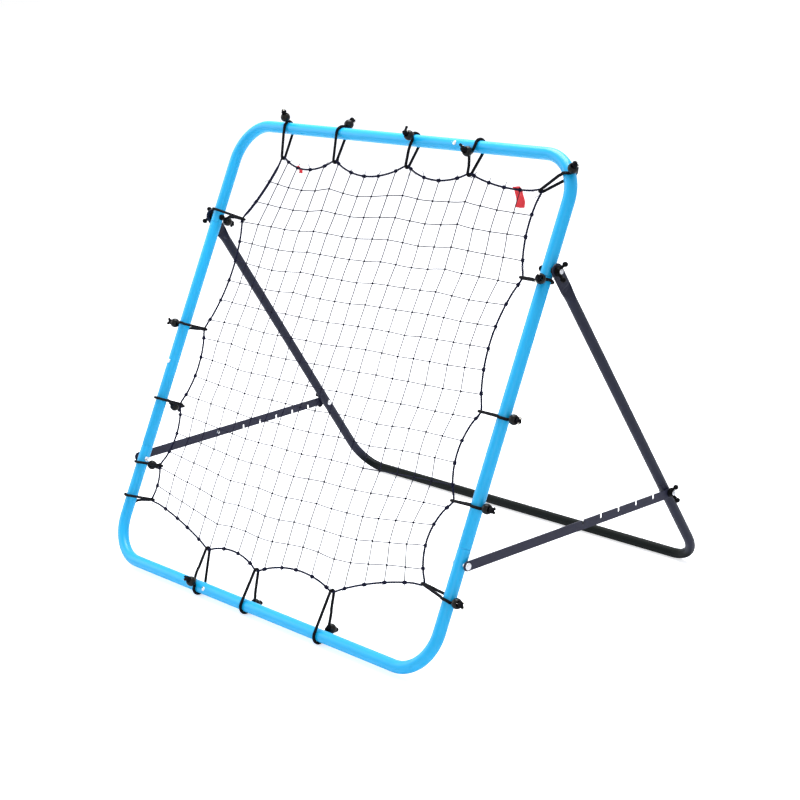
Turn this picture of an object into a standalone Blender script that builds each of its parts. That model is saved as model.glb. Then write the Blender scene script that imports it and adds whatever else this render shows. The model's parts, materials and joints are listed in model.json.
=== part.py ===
# Rebound net: a leaning tube frame with a knotted net on elastic ball ties, held up by a hinged stand.
# Units are metres. X runs across the net, -Y is the playing side, +Z is up.
import math

import bmesh
import bpy
from mathutils import Vector

# Frame
FRAME_WIDTH = 1.210          # between the axes of the side rails
FRAME_HEIGHT = 1.200         # between the axes of the bottom and top rails, along the frame
RAIL_R = 0.015
CORNER_R = 0.104             # bend radius of the rails' axis
LEAN = math.radians(28.4)    # from upright, top towards the back
LOWER_SEAM = 0.295           # height along the frame where the bottom bow ends
UPPER_SEAM = 0.922           # and where the top bow starts
SPIGOT_R = 0.0129            # the side tubes' reduced ends, inside the bows
SPIGOT_LENGTH = 0.052
GAP = 0.0003                 # between pieces that touch

# Stand
UPPER_PIVOT = 0.938          # height along the frame of the stand's hinge
LEG_R = 0.0125
LEG_LENGTH = 0.9545          # from the hinge to the ground bar's axis
LEG_OFFSET = 0.0278          # from a side rail's axis out to the leg's axis
STAND_CORNER_R = 0.084
LEG_SEAM = 0.672             # from the hinge down to the joint between leg and bow
SLEEVE_R = 0.0110            # the bow's reduced ends, inside the legs
SLEEVE_LENGTH = 0.034
FLAT_HALF_WIDTH = 0.0165     # the leg's flattened end at the hinge
FLAT_HALF_THICKNESS = 0.0015
FLAT_END = 0.045             # where the leg starts to swell back to a round tube
ROUND_START = 0.085

# Brace bars
LOWER_PIVOT = 0.261          # height along the frame of the bars' hinges
LOCK_PLACE = 0.7035          # from the stand's hinge down to the bolt that a bar hooks on
BAR_HALF_WIDTH = 0.0115
BAR_THICKNESS = 0.003
BAR_OFFSET = 0.0220          # from the rail's axis out to the bar's inner face, at the rail
BAR_LOCK_OFFSET = 0.0411     # the same at the leg
BAR_BEYOND = 0.016           # of the bar past its outermost notch
NOTCH_COUNT = 6
NOTCH_PITCH = 0.0604
NOTCH_R = 0.0034
BOLT_SEAT = 0.003            # from the bar's middle line to a bolt in its notch
BAR_STUD_PLACE = 0.272       # of a domed rivet on the bar's inner face

# Bolts and nuts
BOLT_R = 0.003
HOLE_R = 0.0033
TUBE_SIDES = 12
BOLT_SIDES = 10

# Ties: a loop of elastic cord round the rail and the net's border rope, closed by a ball
CORD_R = 0.0022
BALL_R = 0.0125
BALL_BORE_R = 0.0050
STRAND_SPREAD = 0.0024       # half the distance between the two strands in a ball
WRAP_R = RAIL_R + CORD_R + 0.0004
NECK_R = 0.003               # bend where a strand leaves its ball
BALL_STAND_OFF = 0.0139      # from a strand's line to the ball's centre
TAIL = 0.005                 # of each strand beyond its ball
BALL_PULL = 0.022            # length of strand over which a ball's shift along the rail dies out

# Net
ROPE_R = 0.0025
LOOP_R = ROPE_R + CORD_R + 0.0020
ROPE_FLAT = 0.007            # straight half length of the border rope at each tie
ROPE_STEP = 0.070
STRAND_R = 0.0010
CELLS_ACROSS = 18
CELLS_UP = 18
EDGE_FADE = 5                # how fast the border's scallops die out in the mesh

# The bottom rail stands clear of the floor by the cords wrapped round it
RAIL_Z = 0.0206

# Each tie: edge of the frame, place along its rail (on the corner, degrees round the bend), border point
# across and up, sag of the rope after it, the ball, and how far the ball is shifted along the rail. The ball
# has its angle round the rail, with outward 0 and front 90, or the side of the rail that it hangs on and how
# far in from the rail.
TIES = [
    ("top", -0.424, (-0.411, 1.123), 0.030, 43, 0),
    ("top", -0.212, (-0.205, 1.128), 0.035, -23, 0.003),
    ("top", 0.064, (0.061, 1.136), 0.027, 84, 0.006),
    ("top", 0.284, (0.279, 1.134), 0.013, ("front", 0.021), -0.005),
    ("corner", 38, (0.518, 1.114), 0.018, 39, 0.010),
    ("right", 0.911, (0.538, 0.911), 0.037, 66, 0.001),
    ("right", 0.597, (0.534, 0.597), 0.033, 1, 0),
    ("right", 0.393, (0.532, 0.389), 0.038, 3, 0),
    ("right", 0.181, (0.519, 0.193), 0.012, 12, 0.004),
    ("bottom", 0.246, (0.241, 0.104), 0.028, ("back", 0.021), 0),
    ("bottom", -0.032, (-0.036, 0.087), 0.022, -106, 0.006),
    ("bottom", -0.230, (-0.236, 0.094), 0.008, 105, -0.004),
    ("left", 0.152, (-0.518, 0.165), 0.010, -44, -0.009),
    ("left", 0.245, (-0.527, 0.257), 0.026, ("back", 0.008), 0.004),
    ("left", 0.424, (-0.521, 0.428), 0.025, ("back", 0.028), -0.008),
    ("left", 0.632, (-0.517, 0.635), 0.032, 19, 0),
    ("left", 0.953, (-0.499, 0.944), 0.010, ("back", 0.008), -0.017),
]
CORNER_TIES = (0, 4, 8, 12)  # top left, top right, bottom right, bottom left

HALF_WIDTH = FRAME_WIDTH / 2
ACROSS, BACK, UP = Vector((1, 0, 0)), Vector((0, 1, 0)), Vector((0, 0, 1))


# Helpers
def make_material(name, colour, roughness, metallic=0.0):
    material = bpy.data.materials.new(name)
    material.use_nodes = True
    shader = material.node_tree.nodes["Principled BSDF"]
    shader.inputs["Base Color"].default_value = (*colour, 1)
    shader.inputs["Roughness"].default_value = roughness
    shader.inputs["Metallic"].default_value = metallic
    return material


def make_empty(name, parent, location=(0, 0, 0), rotation=(0, 0, 0)):
    empty = bpy.data.objects.new(name, None)
    empty.parent = parent
    empty.location = location
    empty.rotation_euler = rotation
    bpy.context.collection.objects.link(empty)
    return empty


def add_object(name, data, material, parent, location=(0, 0, 0), rotation=(0, 0, 0)):
    item = bpy.data.objects.new(name, data)
    if material:
        data.materials.append(material)
    item.parent = parent
    item.location = location
    item.rotation_euler = rotation
    bpy.context.collection.objects.link(item)
    return item


def finish_mesh(shape, name):
    """A mesh from a bmesh, shaded smooth, with its faces outward."""
    bmesh.ops.recalc_face_normals(shape, faces=shape.faces)
    mesh = bpy.data.meshes.new(name)
    shape.to_mesh(mesh)
    shape.free()
    mesh.shade_smooth()
    mesh.set_sharp_from_angle(angle=math.radians(35))
    return mesh


def ring(centre, wide, high, half_wide, half_high, count, squareness=1.0, turn=0.0):
    """Points round a centre on an ellipse, or with a low squareness on a rounded box."""
    points = []
    for k in range(count):
        angle = math.tau * (k + 0.5) / count + turn
        x = math.copysign(abs(math.cos(angle)) ** squareness, math.cos(angle))
        y = math.copysign(abs(math.sin(angle)) ** squareness, math.sin(angle))
        points.append(centre + wide * (half_wide * x) + high * (half_high * y))
    return points


def loft(name, rings, round_again=False):
    """A closed body through rings of equal count: flat at both ends, or running round to its start."""
    shape = bmesh.new()
    loops = [[shape.verts.new(point) for point in points] for points in rings]
    pairs = list(zip(loops, loops[1:]))
    if round_again:
        pairs.append((loops[-1], loops[0]))
    else:
        shape.faces.new(loops[0])
        shape.faces.new(loops[-1])
    for first, second in pairs:
        for k in range(len(first)):
            n = (k + 1) % len(first)
            shape.faces.new((first[k], first[n], second[n], second[k]))
    return finish_mesh(shape, name)


def turned(name, profile, bored=False, count=BOLT_SIDES):
    """A piece turned about Z from (height, radius) pairs. A bored one's pairs run round its wall."""
    return loft(name, [ring(UP * z, ACROSS, BACK, r, r, count) for z, r in profile], bored)


def boolean(item, tool, operation):
    modifier = item.modifiers.new(operation.title(), "BOOLEAN")
    modifier.operation = operation
    modifier.solver = "EXACT"
    modifier.object = tool
    tool.hide_render = True
    tool.display_type = "WIRE"


def drill(item, place, rotation, radius=HOLE_R, depth=0.06):
    """Bores a hole about a place in the piece's parent."""
    bpy.ops.mesh.primitive_cylinder_add(vertices=BOLT_SIDES, radius=radius, depth=depth)
    cutter = bpy.context.object
    cutter.name = "hole_cutter"
    cutter.parent = item.parent
    cutter.location = place
    cutter.rotation_euler = rotation
    boolean(item, cutter, "DIFFERENCE")


SIDEWAYS = (0, math.pi / 2, 0)
FORWARD = (math.pi / 2, 0, 0)


def outward(side):
    """Rotation that turns a piece's Z out to the right or the left."""
    return (0, side * math.pi / 2, 0)


def side_name(name, side):
    return name + ("_right" if side > 0 else "_left")


# Tubes bent in one plane
def arc(centre_x, centre_z, radius, start, end, steps=6):
    points = []
    for k in range(steps + 1):
        angle = math.radians(start + (end - start) * k / steps)
        points.append(Vector((centre_x + radius * math.cos(angle), 0, centre_z + radius * math.sin(angle))))
    return points


def bent_tube(name, path, radius, end_steps, turn=0.0):
    """A tube whose ends step in to a socket or out to a spigot by (depth inward, radius) pairs."""
    ways = [(b - a).normalized() for a, b in zip(path, path[1:])]
    tangents = [(a + b).normalized() for a, b in zip(ways[:1] + ways, ways + ways[-1:])]

    def section(k, depth, size):
        way = tangents[k]
        return ring(path[k] + way * depth, way.cross(BACK), BACK, size, size, TUBE_SIDES, turn=turn)

    last = len(path) - 1
    rings = [section(0, depth, size) for depth, size in reversed(end_steps)]
    rings += [section(k, 0, radius) for k in range(len(path))]
    rings += [section(last, -depth, size) for depth, size in end_steps]
    return loft(name, rings)


def make_rail_bow(name, top, material, parent):
    """The U of rail tube at the top or the bottom, its ends bored as sockets."""
    sign = 1 if top else -1
    seam = UPPER_SEAM if top else LOWER_SEAM
    bend_x = HALF_WIDTH - CORNER_R
    bend_z = FRAME_HEIGHT - CORNER_R if top else CORNER_R
    path = [Vector((-HALF_WIDTH, 0, seam))]
    path += arc(-bend_x, bend_z, CORNER_R, 180, 180 - sign * 90)
    path += arc(bend_x, bend_z, CORNER_R, sign * 90, 0)
    path.append(Vector((HALF_WIDTH, 0, seam)))
    socket_r = SPIGOT_R + GAP
    mesh = bent_tube(name, path, RAIL_R, [(0, socket_r), (SPIGOT_LENGTH + 0.002, socket_r)])
    bow = add_object(name, mesh, material, parent)
    for side in (-1, 1):
        drill(bow, (side * HALF_WIDTH, 0, UPPER_PIVOT if top else LOWER_PIVOT), SIDEWAYS)
    return bow


def make_side_tube(side, material, parent):
    low, high = LOWER_SEAM + GAP, UPPER_SEAM - GAP
    tip = SPIGOT_R - 0.001
    steps = [(low - SPIGOT_LENGTH, tip), (low - SPIGOT_LENGTH + 0.003, SPIGOT_R), (low, SPIGOT_R), (low, RAIL_R),
             (high, RAIL_R), (high, SPIGOT_R), (high + SPIGOT_LENGTH - 0.003, SPIGOT_R), (high + SPIGOT_LENGTH, tip)]
    name = side_name("side_tube", side)
    tube = add_object(name, turned(name, steps, count=TUBE_SIDES), material, parent, (side * HALF_WIDTH, 0, 0))
    for height in (LOWER_PIVOT, UPPER_PIVOT):
        drill(tube, (side * HALF_WIDTH, 0, height), SIDEWAYS)
    return tube


def make_rail_stud(name, rail, place, material, parent):
    """A domed plug in a hole at the front of a rail."""
    under = RAIL_R + GAP
    profile = [(RAIL_R - 0.007, BOLT_R), (under, BOLT_R), (under, 0.0055), (under + 0.0012, 0.0049),
               (under + 0.0022, 0.0028)]
    drill(rail, (place[0], -RAIL_R, place[1]), FORWARD, depth=0.018)
    return add_object(name, turned(name, profile), material, parent, (place[0], 0, place[1]), FORWARD)


# Border rope
def tie_outward(tie):
    """Direction in the frame's plane from the net out to a tie's rail."""
    if tie[0] == "corner":
        angle = math.radians(tie[1])
        return Vector((math.cos(angle), 0, math.sin(angle)))
    return {"top": UP, "bottom": -UP, "left": -ACROSS, "right": ACROSS}[tie[0]]


def rail_point(tie):
    """Where a tie crosses its rail's axis."""
    edge, place = tie[0], tie[1]
    if edge == "corner":
        bend = Vector((HALF_WIDTH - CORNER_R, 0, FRAME_HEIGHT - CORNER_R))
        return bend + tie_outward(tie) * CORNER_R
    if edge in ("top", "bottom"):
        return Vector((place, 0, FRAME_HEIGHT if edge == "top" else 0))
    return Vector((HALF_WIDTH if edge == "right" else -HALF_WIDTH, 0, place))


def border_point(tie):
    return Vector((tie[2][0], 0, tie[2][1]))


def rope_span(k):
    """The border rope from one tie up to the next, sagging in towards the net."""
    tie, following = TIES[k], TIES[(k + 1) % len(TIES)]
    start, end = border_point(tie), border_point(following)
    along = (end - start).normalized()
    inward = BACK.cross(along)
    leave = BACK.cross(tie_outward(tie))
    arrive = BACK.cross(tie_outward(following))
    steps = max(3, round((end - start).length / ROPE_STEP))
    points = [start, start + leave * ROPE_FLAT]
    for n in range(1, steps):
        t = n / steps
        points.append(start.lerp(end, t) + inward * (tie[3] * 4 * t * (1 - t)))
    points.append(end - arrive * ROPE_FLAT)
    return points


def rope_side(first, last):
    """The rope from one corner tie round to another, both included."""
    points = []
    k = first
    while k != last:
        points += rope_span(k)
        k = (k + 1) % len(TIES)
    return points + [border_point(TIES[last])]


def along_path(points, fraction):
    """The point at a fraction of a path's length."""
    lengths = [(b - a).length for a, b in zip(points, points[1:])]
    left = fraction * sum(lengths)
    for a, b, length in zip(points, points[1:], lengths):
        if left <= length:
            return a.lerp(b, left / length)
        left -= length
    return points[-1].copy()


# Net
def net_place(sides, s, t):
    """Where the mesh lies at fractions s across and t up: straight inside, on the rope at its edges."""
    top, right, bottom, left = sides
    low = bottom[-1].lerp(bottom[0], s)
    high = top[0].lerp(top[-1], s)
    place = low.lerp(high, t)
    place += (along_path(bottom, 1 - s) - low) * (1 - t) ** EDGE_FADE
    place += (along_path(top, s) - high) * t ** EDGE_FADE
    place += (along_path(left, t) - left[0].lerp(left[-1], t)) * (1 - s) ** EDGE_FADE
    place += (along_path(right, 1 - t) - right[-1].lerp(right[0], t)) * s ** EDGE_FADE
    return place


def make_net(material, parent):
    """The mesh as one body: strands of square section that share their corners at each knot."""
    first, second, third, fourth = CORNER_TIES
    sides = [rope_side(first, second), rope_side(second, third), rope_side(third, fourth), rope_side(fourth, first)]
    tie_points = [border_point(tie) for tie in TIES]
    shape = bmesh.new()
    knots = {}
    places = {}
    for i in range(CELLS_ACROSS + 1):
        for j in range(CELLS_UP + 1):
            places[i, j] = net_place(sides, i / CELLS_ACROSS, j / CELLS_UP)
            if 0 < i < CELLS_ACROSS and 0 < j < CELLS_UP:
                corners = {(0, -1): -BACK, (0, 1): BACK}
                for dx in (-1, 1):
                    for dz in (-1, 1):
                        corners[dx, dz * 2] = Vector((dx, 0, dz))
                knots[i, j] = {key: shape.verts.new(places[i, j] + way * STRAND_R) for key, way in corners.items()}

    def facing(knot, dx, dz):
        """The four corners of a knot towards a neighbour: front, one side, back, other side."""
        one = (1, dz * 2) if dz else (dx, 2)
        other = (-1, dz * 2) if dz else (dx, -2)
        return [knots[knot][key] for key in ((0, -1), one, (0, 1), other)]

    def strand(near, far):
        for k in range(4):
            n = (k + 1) % 4
            shape.faces.new((near[k], near[n], far[n], far[k]))

    for i, j in knots:
        for dx, dz in ((1, 0), (0, 1), (-1, 0), (0, -1)):
            beside = (i + dx, j + dz)
            if beside in knots:
                if dx + dz > 0:
                    strand(facing((i, j), dx, dz), facing(beside, -dx, -dz))
                continue
            end = places[beside]
            nearest = min((end - point).length for point in tie_points)
            stop = 0.015 if nearest < 0.016 else ROPE_R + 0.0018
            end = end + (places[i, j] - end).normalized() * stop
            side = (ACROSS if dz else UP) * STRAND_R
            cap = [shape.verts.new(end + way) for way in (-BACK * STRAND_R, side, BACK * STRAND_R, -side)]
            strand(facing((i, j), dx, dz), cap)
            shape.faces.new(cap)
    return add_object("net", finish_mesh(shape, "net"), material, parent)


def make_cord(name, points, radius, material, parent, closed=False):
    curve = bpy.data.curves.new(name, "CURVE")
    curve.dimensions = "3D"
    curve.bevel_depth = radius
    curve.bevel_resolution = 2
    curve.use_fill_caps = True
    spline = curve.splines.new("POLY")
    spline.points.add(len(points) - 1)
    for target, point in zip(spline.points, points):
        target.co = (*point, 1)
    spline.use_cyclic_u = closed
    return add_object(name, curve, material, parent)


def make_border_rope(material, parent):
    points = []
    for k in range(len(TIES)):
        points += rope_span(k)
    return make_cord("border_rope", points, ROPE_R, material, parent, closed=True)


# Ties, each drawn across its rail: X along the rail, Y towards the back, Z outward
def polar(angle, radius):
    return Vector((0, -radius * math.sin(angle), radius * math.cos(angle)))


def rail_wrap(start, end):
    """Points round the rail between two angles, far enough out for their chords to clear it."""
    steps = max(1, math.ceil(abs(end - start) / math.radians(42)))
    radius = WRAP_R / math.cos(abs(end - start) / steps / 2)
    return [polar(start + (end - start) * (k + 0.5) / steps, radius) for k in range(steps)]


def neck(base, out, along):
    """A strand's bend from the bore of its ball onto its run."""
    return [base + out * NECK_R, base + (out + along) * (NECK_R * 0.3), base + along * NECK_R]


def tie_route(reach, ball):
    """The cord from the ball, round rail and border rope, and back, with the line out to the ball."""
    touch = math.pi - math.acos((WRAP_R - LOOP_R) / reach)
    rope = [UP * -reach + polar(touch + (math.tau - 2 * touch) * k / 3, LOOP_R) for k in range(4)]
    if isinstance(ball, tuple):
        sign = 1 if ball[0] == "back" else -1
        out = BACK * sign
        base = Vector((0, sign * (WRAP_R + (LOOP_R - WRAP_R) * ball[1] / reach), -ball[1]))
        route = neck(base, out, UP) + rail_wrap(-sign * touch, sign * touch)
        route += rope if sign > 0 else rope[::-1]
        route += neck(base, out, -UP)[::-1]
        return route, base, out
    angle = math.radians(ball)
    base, out, turn = polar(angle, WRAP_R), polar(angle, 1), polar(angle + math.pi / 2, 1)
    bend = NECK_R / WRAP_R
    route = neck(base, out, turn)
    if touch > angle + bend:
        route += rail_wrap(angle + bend, touch)
    route += rope + rail_wrap(-touch, angle - bend) + neck(base, out, -turn)[::-1]
    return route, base, out


def make_tie(number, tie, cord_material, ball_mesh, parent):
    way = tie_outward(tie)
    turn = math.atan2(way.x, way.z)
    origin = rail_point(tie)
    drop = border_point(tie) - origin
    reach = -drop.dot(way)
    slant = drop.dot(Vector((math.cos(turn), 0, -math.sin(turn)))) / reach
    route, base, out = tie_route(reach, tie[4])
    tail = base + out * (BALL_STAND_OFF + BALL_R + TAIL)
    route = [tail] + route + [tail]
    last = len(route) - 1
    run = [0]
    for k in range(last):
        run.append(run[-1] + (route[k + 1] - route[k]).length)
    points = []
    for k, point in enumerate(route):
        # The two strands lie side by side in the ball and change over at the border rope
        spread = 1 - 2 * k / last
        if k < 2 or k > last - 2:
            spread = math.copysign(1, spread)
        beyond = min(1, max(0, (min(run[k], run[-1] - run[k]) - (tail - base).length) / BALL_PULL))
        shift = tie[5] * (1 - beyond * beyond * (3 - 2 * beyond))
        points.append(point + ACROSS * (spread * STRAND_SPREAD + slant * max(-point.z, 0) + shift))
    holder = make_empty("tie_place_%02d" % number, parent, origin, (0, turn, 0))
    make_cord("tie_cord_%02d" % number, points, CORD_R, cord_material, holder)
    centre = base + out * BALL_STAND_OFF
    centre += ACROSS * (slant * max(-centre.z, 0) + tie[5])
    tilt = math.atan2(-out.y, out.z)
    add_object("tie_ball_%02d" % number, ball_mesh, None, holder, centre, (tilt, 0, 0))


def make_ball_mesh(material):
    edge = math.acos(BALL_BORE_R / BALL_R)
    profile = []
    for k in range(6):
        latitude = -edge + 2 * edge * k / 5
        profile.append((BALL_R * math.sin(latitude), BALL_R * math.cos(latitude)))
    mesh = turned("tie_ball", profile, bored=True)
    mesh.materials.append(material)
    return mesh


# Stand, drawn in its own plane: Z runs up the legs to the hinge
def make_leg(side, material, parent):
    """A tube flattened at its hinge end and bored as a socket at its lower end."""
    rings = []
    for k in range(1, 5):
        angle = math.radians(90 - 90 * k / 4)
        rings.append((FLAT_HALF_WIDTH * math.sin(angle), FLAT_HALF_WIDTH * math.cos(angle), FLAT_HALF_THICKNESS, 0.4))
    rings.append((-FLAT_END, FLAT_HALF_WIDTH, FLAT_HALF_THICKNESS, 0.4))
    rings.append((-(FLAT_END + ROUND_START) / 2, 0.0148, 0.0075, 0.75))
    rings.append((-ROUND_START, LEG_R, LEG_R, 1))
    rings.append((-LEG_SEAM, LEG_R, LEG_R, 1))
    rings.append((-LEG_SEAM, SLEEVE_R + GAP, SLEEVE_R + GAP, 1))
    rings.append((-LEG_SEAM + SLEEVE_LENGTH + 0.002, SLEEVE_R + GAP, SLEEVE_R + GAP, 1))
    name = side_name("stand_leg", side)
    mesh = loft(name, [ring(UP * z, BACK, ACROSS, wide, thick, TUBE_SIDES, square)
                       for z, wide, thick, square in rings])
    leg = add_object(name, mesh, material, parent, (side * (HALF_WIDTH + LEG_OFFSET), 0, 0))
    drill(leg, (side * (HALF_WIDTH + LEG_OFFSET), 0, 0), SIDEWAYS)
    return leg


def make_stand_bow(material, parent):
    leg_x = HALF_WIDTH + LEG_OFFSET
    bend_x = leg_x - STAND_CORNER_R
    bend_z = STAND_CORNER_R - LEG_LENGTH
    top = -LEG_SEAM - GAP
    path = [Vector((-leg_x, 0, top))]
    path += arc(-bend_x, bend_z, STAND_CORNER_R, 180, 270)
    path += arc(bend_x, bend_z, STAND_CORNER_R, 270, 360)
    path.append(Vector((leg_x, 0, top)))
    # Turning the sections by the legs' angle lays one face of the ground bar flat on the floor
    mesh = bent_tube("stand_bow", path, LEG_R, [(0, SLEEVE_R), (-SLEEVE_LENGTH, SLEEVE_R)], turn=leg_angle())
    bow = add_object("stand_bow", mesh, material, parent)
    for side in (-1, 1):
        drill(bow, (side * leg_x, 0, -LOCK_PLACE), SIDEWAYS)
    return bow


# Bolts, spacers and nuts, each turned about the hole's axis with Z outward
def make_hinge_bolt(side, material, parent):
    """Mushroom head inside the rail, shank out through rail, spacer, leg and nut."""
    under = -RAIL_R - GAP
    profile = [(under - 0.0055, 0.0045), (under - 0.0045, 0.0075), (under - 0.002, 0.0095), (under, 0.0095),
               (under, BOLT_R), (0.0455, BOLT_R), (0.0465, 0.0022)]
    name = side_name("hinge_bolt", side)
    place = (side * HALF_WIDTH, 0, UPPER_PIVOT)
    return add_object(name, turned(name, profile), material, parent, place, outward(side))


def make_hinge_spacer(side, material, parent):
    start, end = RAIL_R + GAP, LEG_OFFSET - FLAT_HALF_THICKNESS - GAP
    profile = [(start, 0.0085), (end, 0.0085), (end, HOLE_R), (start, HOLE_R)]
    name = side_name("hinge_spacer", side)
    place = (side * HALF_WIDTH, 0, UPPER_PIVOT)
    return add_object(name, turned(name, profile, bored=True), material, parent, place, outward(side))


def make_bar_rivet(side, material, parent):
    """A shouldered rivet that carries a brace bar: one head inside the rail, one outside the bar."""
    inner = -RAIL_R - GAP
    shoulder = BAR_OFFSET - 0.0005
    outer = BAR_OFFSET + BAR_THICKNESS + 0.0005
    profile = [(inner - 0.003, 0.0035), (inner - 0.0015, 0.0062), (inner, 0.0068), (inner, BOLT_R),
               (RAIL_R + GAP, BOLT_R), (RAIL_R + GAP, 0.007), (shoulder, 0.007), (shoulder, BOLT_R),
               (outer, BOLT_R), (outer, 0.0085), (outer + 0.002, 0.0078), (outer + 0.0036, 0.0045)]
    name = side_name("bar_rivet", side)
    place = (side * HALF_WIDTH, 0, LOWER_PIVOT)
    return add_object(name, turned(name, profile), material, parent, place, outward(side))


def make_lock_bolt(side, material, parent):
    """Domed head on the leg's inner side, shank out through leg, bar and wing nut."""
    under = -LEG_R - GAP
    profile = [(under - 0.0034, 0.003), (under - 0.0020, 0.0062), (under, 0.0070), (under, BOLT_R),
               (0.0290, BOLT_R), (0.0300, 0.0022)]
    name = side_name("lock_bolt", side)
    place = (side * (HALF_WIDTH + LEG_OFFSET), 0, -LOCK_PLACE)
    return add_object(name, turned(name, profile), material, parent, place, outward(side))


def make_wing_nut(name, side, material, parent, offset):
    """A hub with two raised wings, bored for its bolt."""
    hub = turned(name, [(0, 0.0088), (0.0018, 0.0088), (0.0024, 0.0072), (0.0105, 0.0062)])
    nut = add_object(name, hub, material, parent, (side * offset, 0, 0), outward(side))
    for sign in (-1, 1):
        steps = [(0.003, 0.0052, 0.0038, 0.0022), (0.011, 0.0075, 0.0045, 0.0020), (0.017, 0.0100, 0.0048, 0.0020),
                 (0.0205, 0.0113, 0.0030, 0.0013)]
        rings = [ring(Vector((sign * x, 0, z)), UP, BACK, high, thick, 8) for x, z, high, thick in steps]
        wing = add_object(name + "_wing", loft(name + "_wing", rings), None, nut)
        boolean(nut, wing, "UNION")
    bpy.ops.mesh.primitive_cylinder_add(vertices=BOLT_SIDES, radius=HOLE_R, depth=0.04)
    cutter = bpy.context.object
    cutter.parent = nut
    boolean(nut, cutter, "DIFFERENCE")
    return nut


# Brace bars, each drawn along Y from its hinge, with Z up
def bar_outline(edge):
    """The bar's outline: round at the hinge, with slots that open at one edge for the lock bolt."""
    reach = math.hypot(lock_distance(), BAR_LOCK_OFFSET - BAR_OFFSET)
    points = []
    for k in range(7):
        angle = math.radians(270 - 180 * k / 6)
        points.append((BAR_HALF_WIDTH * math.cos(angle), BAR_HALF_WIDTH * math.sin(angle)))
    for n in reversed(range(NOTCH_COUNT)):
        middle = reach - n * NOTCH_PITCH
        points.append((middle - NOTCH_R, BAR_HALF_WIDTH))
        for k in range(7):
            angle = math.radians(180 + 180 * k / 6)
            points.append((middle + NOTCH_R * math.cos(angle), BOLT_SEAT + NOTCH_R * math.sin(angle)))
        points.append((middle + NOTCH_R, BAR_HALF_WIDTH))
    end = reach + BAR_BEYOND
    points += [(end - 0.004, BAR_HALF_WIDTH), (end, BAR_HALF_WIDTH - 0.004), (end, 0.004 - BAR_HALF_WIDTH),
               (end - 0.004, -BAR_HALF_WIDTH)]
    return [(y, z * edge) for y, z in points]


def make_bar(side, edge, material, parent):
    """A flat bar, leaning out from the rail to the leg. Edge is 1 where its slots open upward."""
    name = side_name("brace_bar", side)
    shape = bmesh.new()
    face = shape.faces.new([shape.verts.new((0, y, z)) for y, z in bar_outline(edge)])
    grown = bmesh.ops.extrude_face_region(shape, geom=[face])
    raised = [item for item in grown["geom"] if isinstance(item, bmesh.types.BMVert)]
    bmesh.ops.translate(shape, verts=raised, vec=(side * BAR_THICKNESS, 0, 0))
    splay = math.atan((BAR_LOCK_OFFSET - BAR_OFFSET) / lock_distance())
    bar = add_object(name, finish_mesh(shape, name), material, parent, (side * BAR_OFFSET, 0, 0), (0, 0, -side * splay))
    dome = turned(name + "_stud", [(-0.001, 0.0045), (0, 0.0045), (0.0012, 0.0038), (0.0018, 0.002)])
    stud = add_object(name + "_stud", dome, None, bar, (0, BAR_STUD_PLACE, 0), outward(-side))
    boolean(bar, stud, "UNION")
    bpy.ops.mesh.primitive_cylinder_add(vertices=BOLT_SIDES, radius=HOLE_R, depth=0.03)
    cutter = bpy.context.object
    cutter.parent = bar
    cutter.rotation_euler = SIDEWAYS
    boolean(bar, cutter, "DIFFERENCE")
    return bar


# Where the hinges stand, seen from the side: Y towards the back and Z up
def frame_point(height):
    return Vector((0, height * math.sin(LEAN), RAIL_Z + height * math.cos(LEAN)))


def leg_angle():
    """The legs' angle from upright with the ground bar on the floor."""
    return math.acos((frame_point(UPPER_PIVOT).z - LEG_R * math.cos(math.pi / TUBE_SIDES)) / LEG_LENGTH)


def lock_point():
    down = Vector((0, math.sin(leg_angle()), -math.cos(leg_angle())))
    return frame_point(UPPER_PIVOT) + down * LOCK_PLACE


def lock_distance():
    return (lock_point() - frame_point(LOWER_PIVOT)).length


def bar_angle(edge):
    run = lock_point() - frame_point(LOWER_PIVOT)
    return math.atan2(run.z, run.y) - edge * math.asin(BOLT_SEAT / run.length)


def stand_on_floor(root):
    """Moves the whole part so that its box is centred over the origin with its bottom at zero."""
    bpy.context.view_layer.update()
    graph = bpy.context.evaluated_depsgraph_get()
    places = []
    for item in bpy.context.scene.objects:
        if item.type in ("MESH", "CURVE") and not item.hide_render:
            shown = item.evaluated_get(graph)
            mesh = shown.to_mesh()
            places += [shown.matrix_world @ vertex.co for vertex in mesh.vertices]
            shown.to_mesh_clear()
    root.location.y = -(min(p.y for p in places) + max(p.y for p in places)) / 2
    root.location.z = -min(p.z for p in places)


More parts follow.
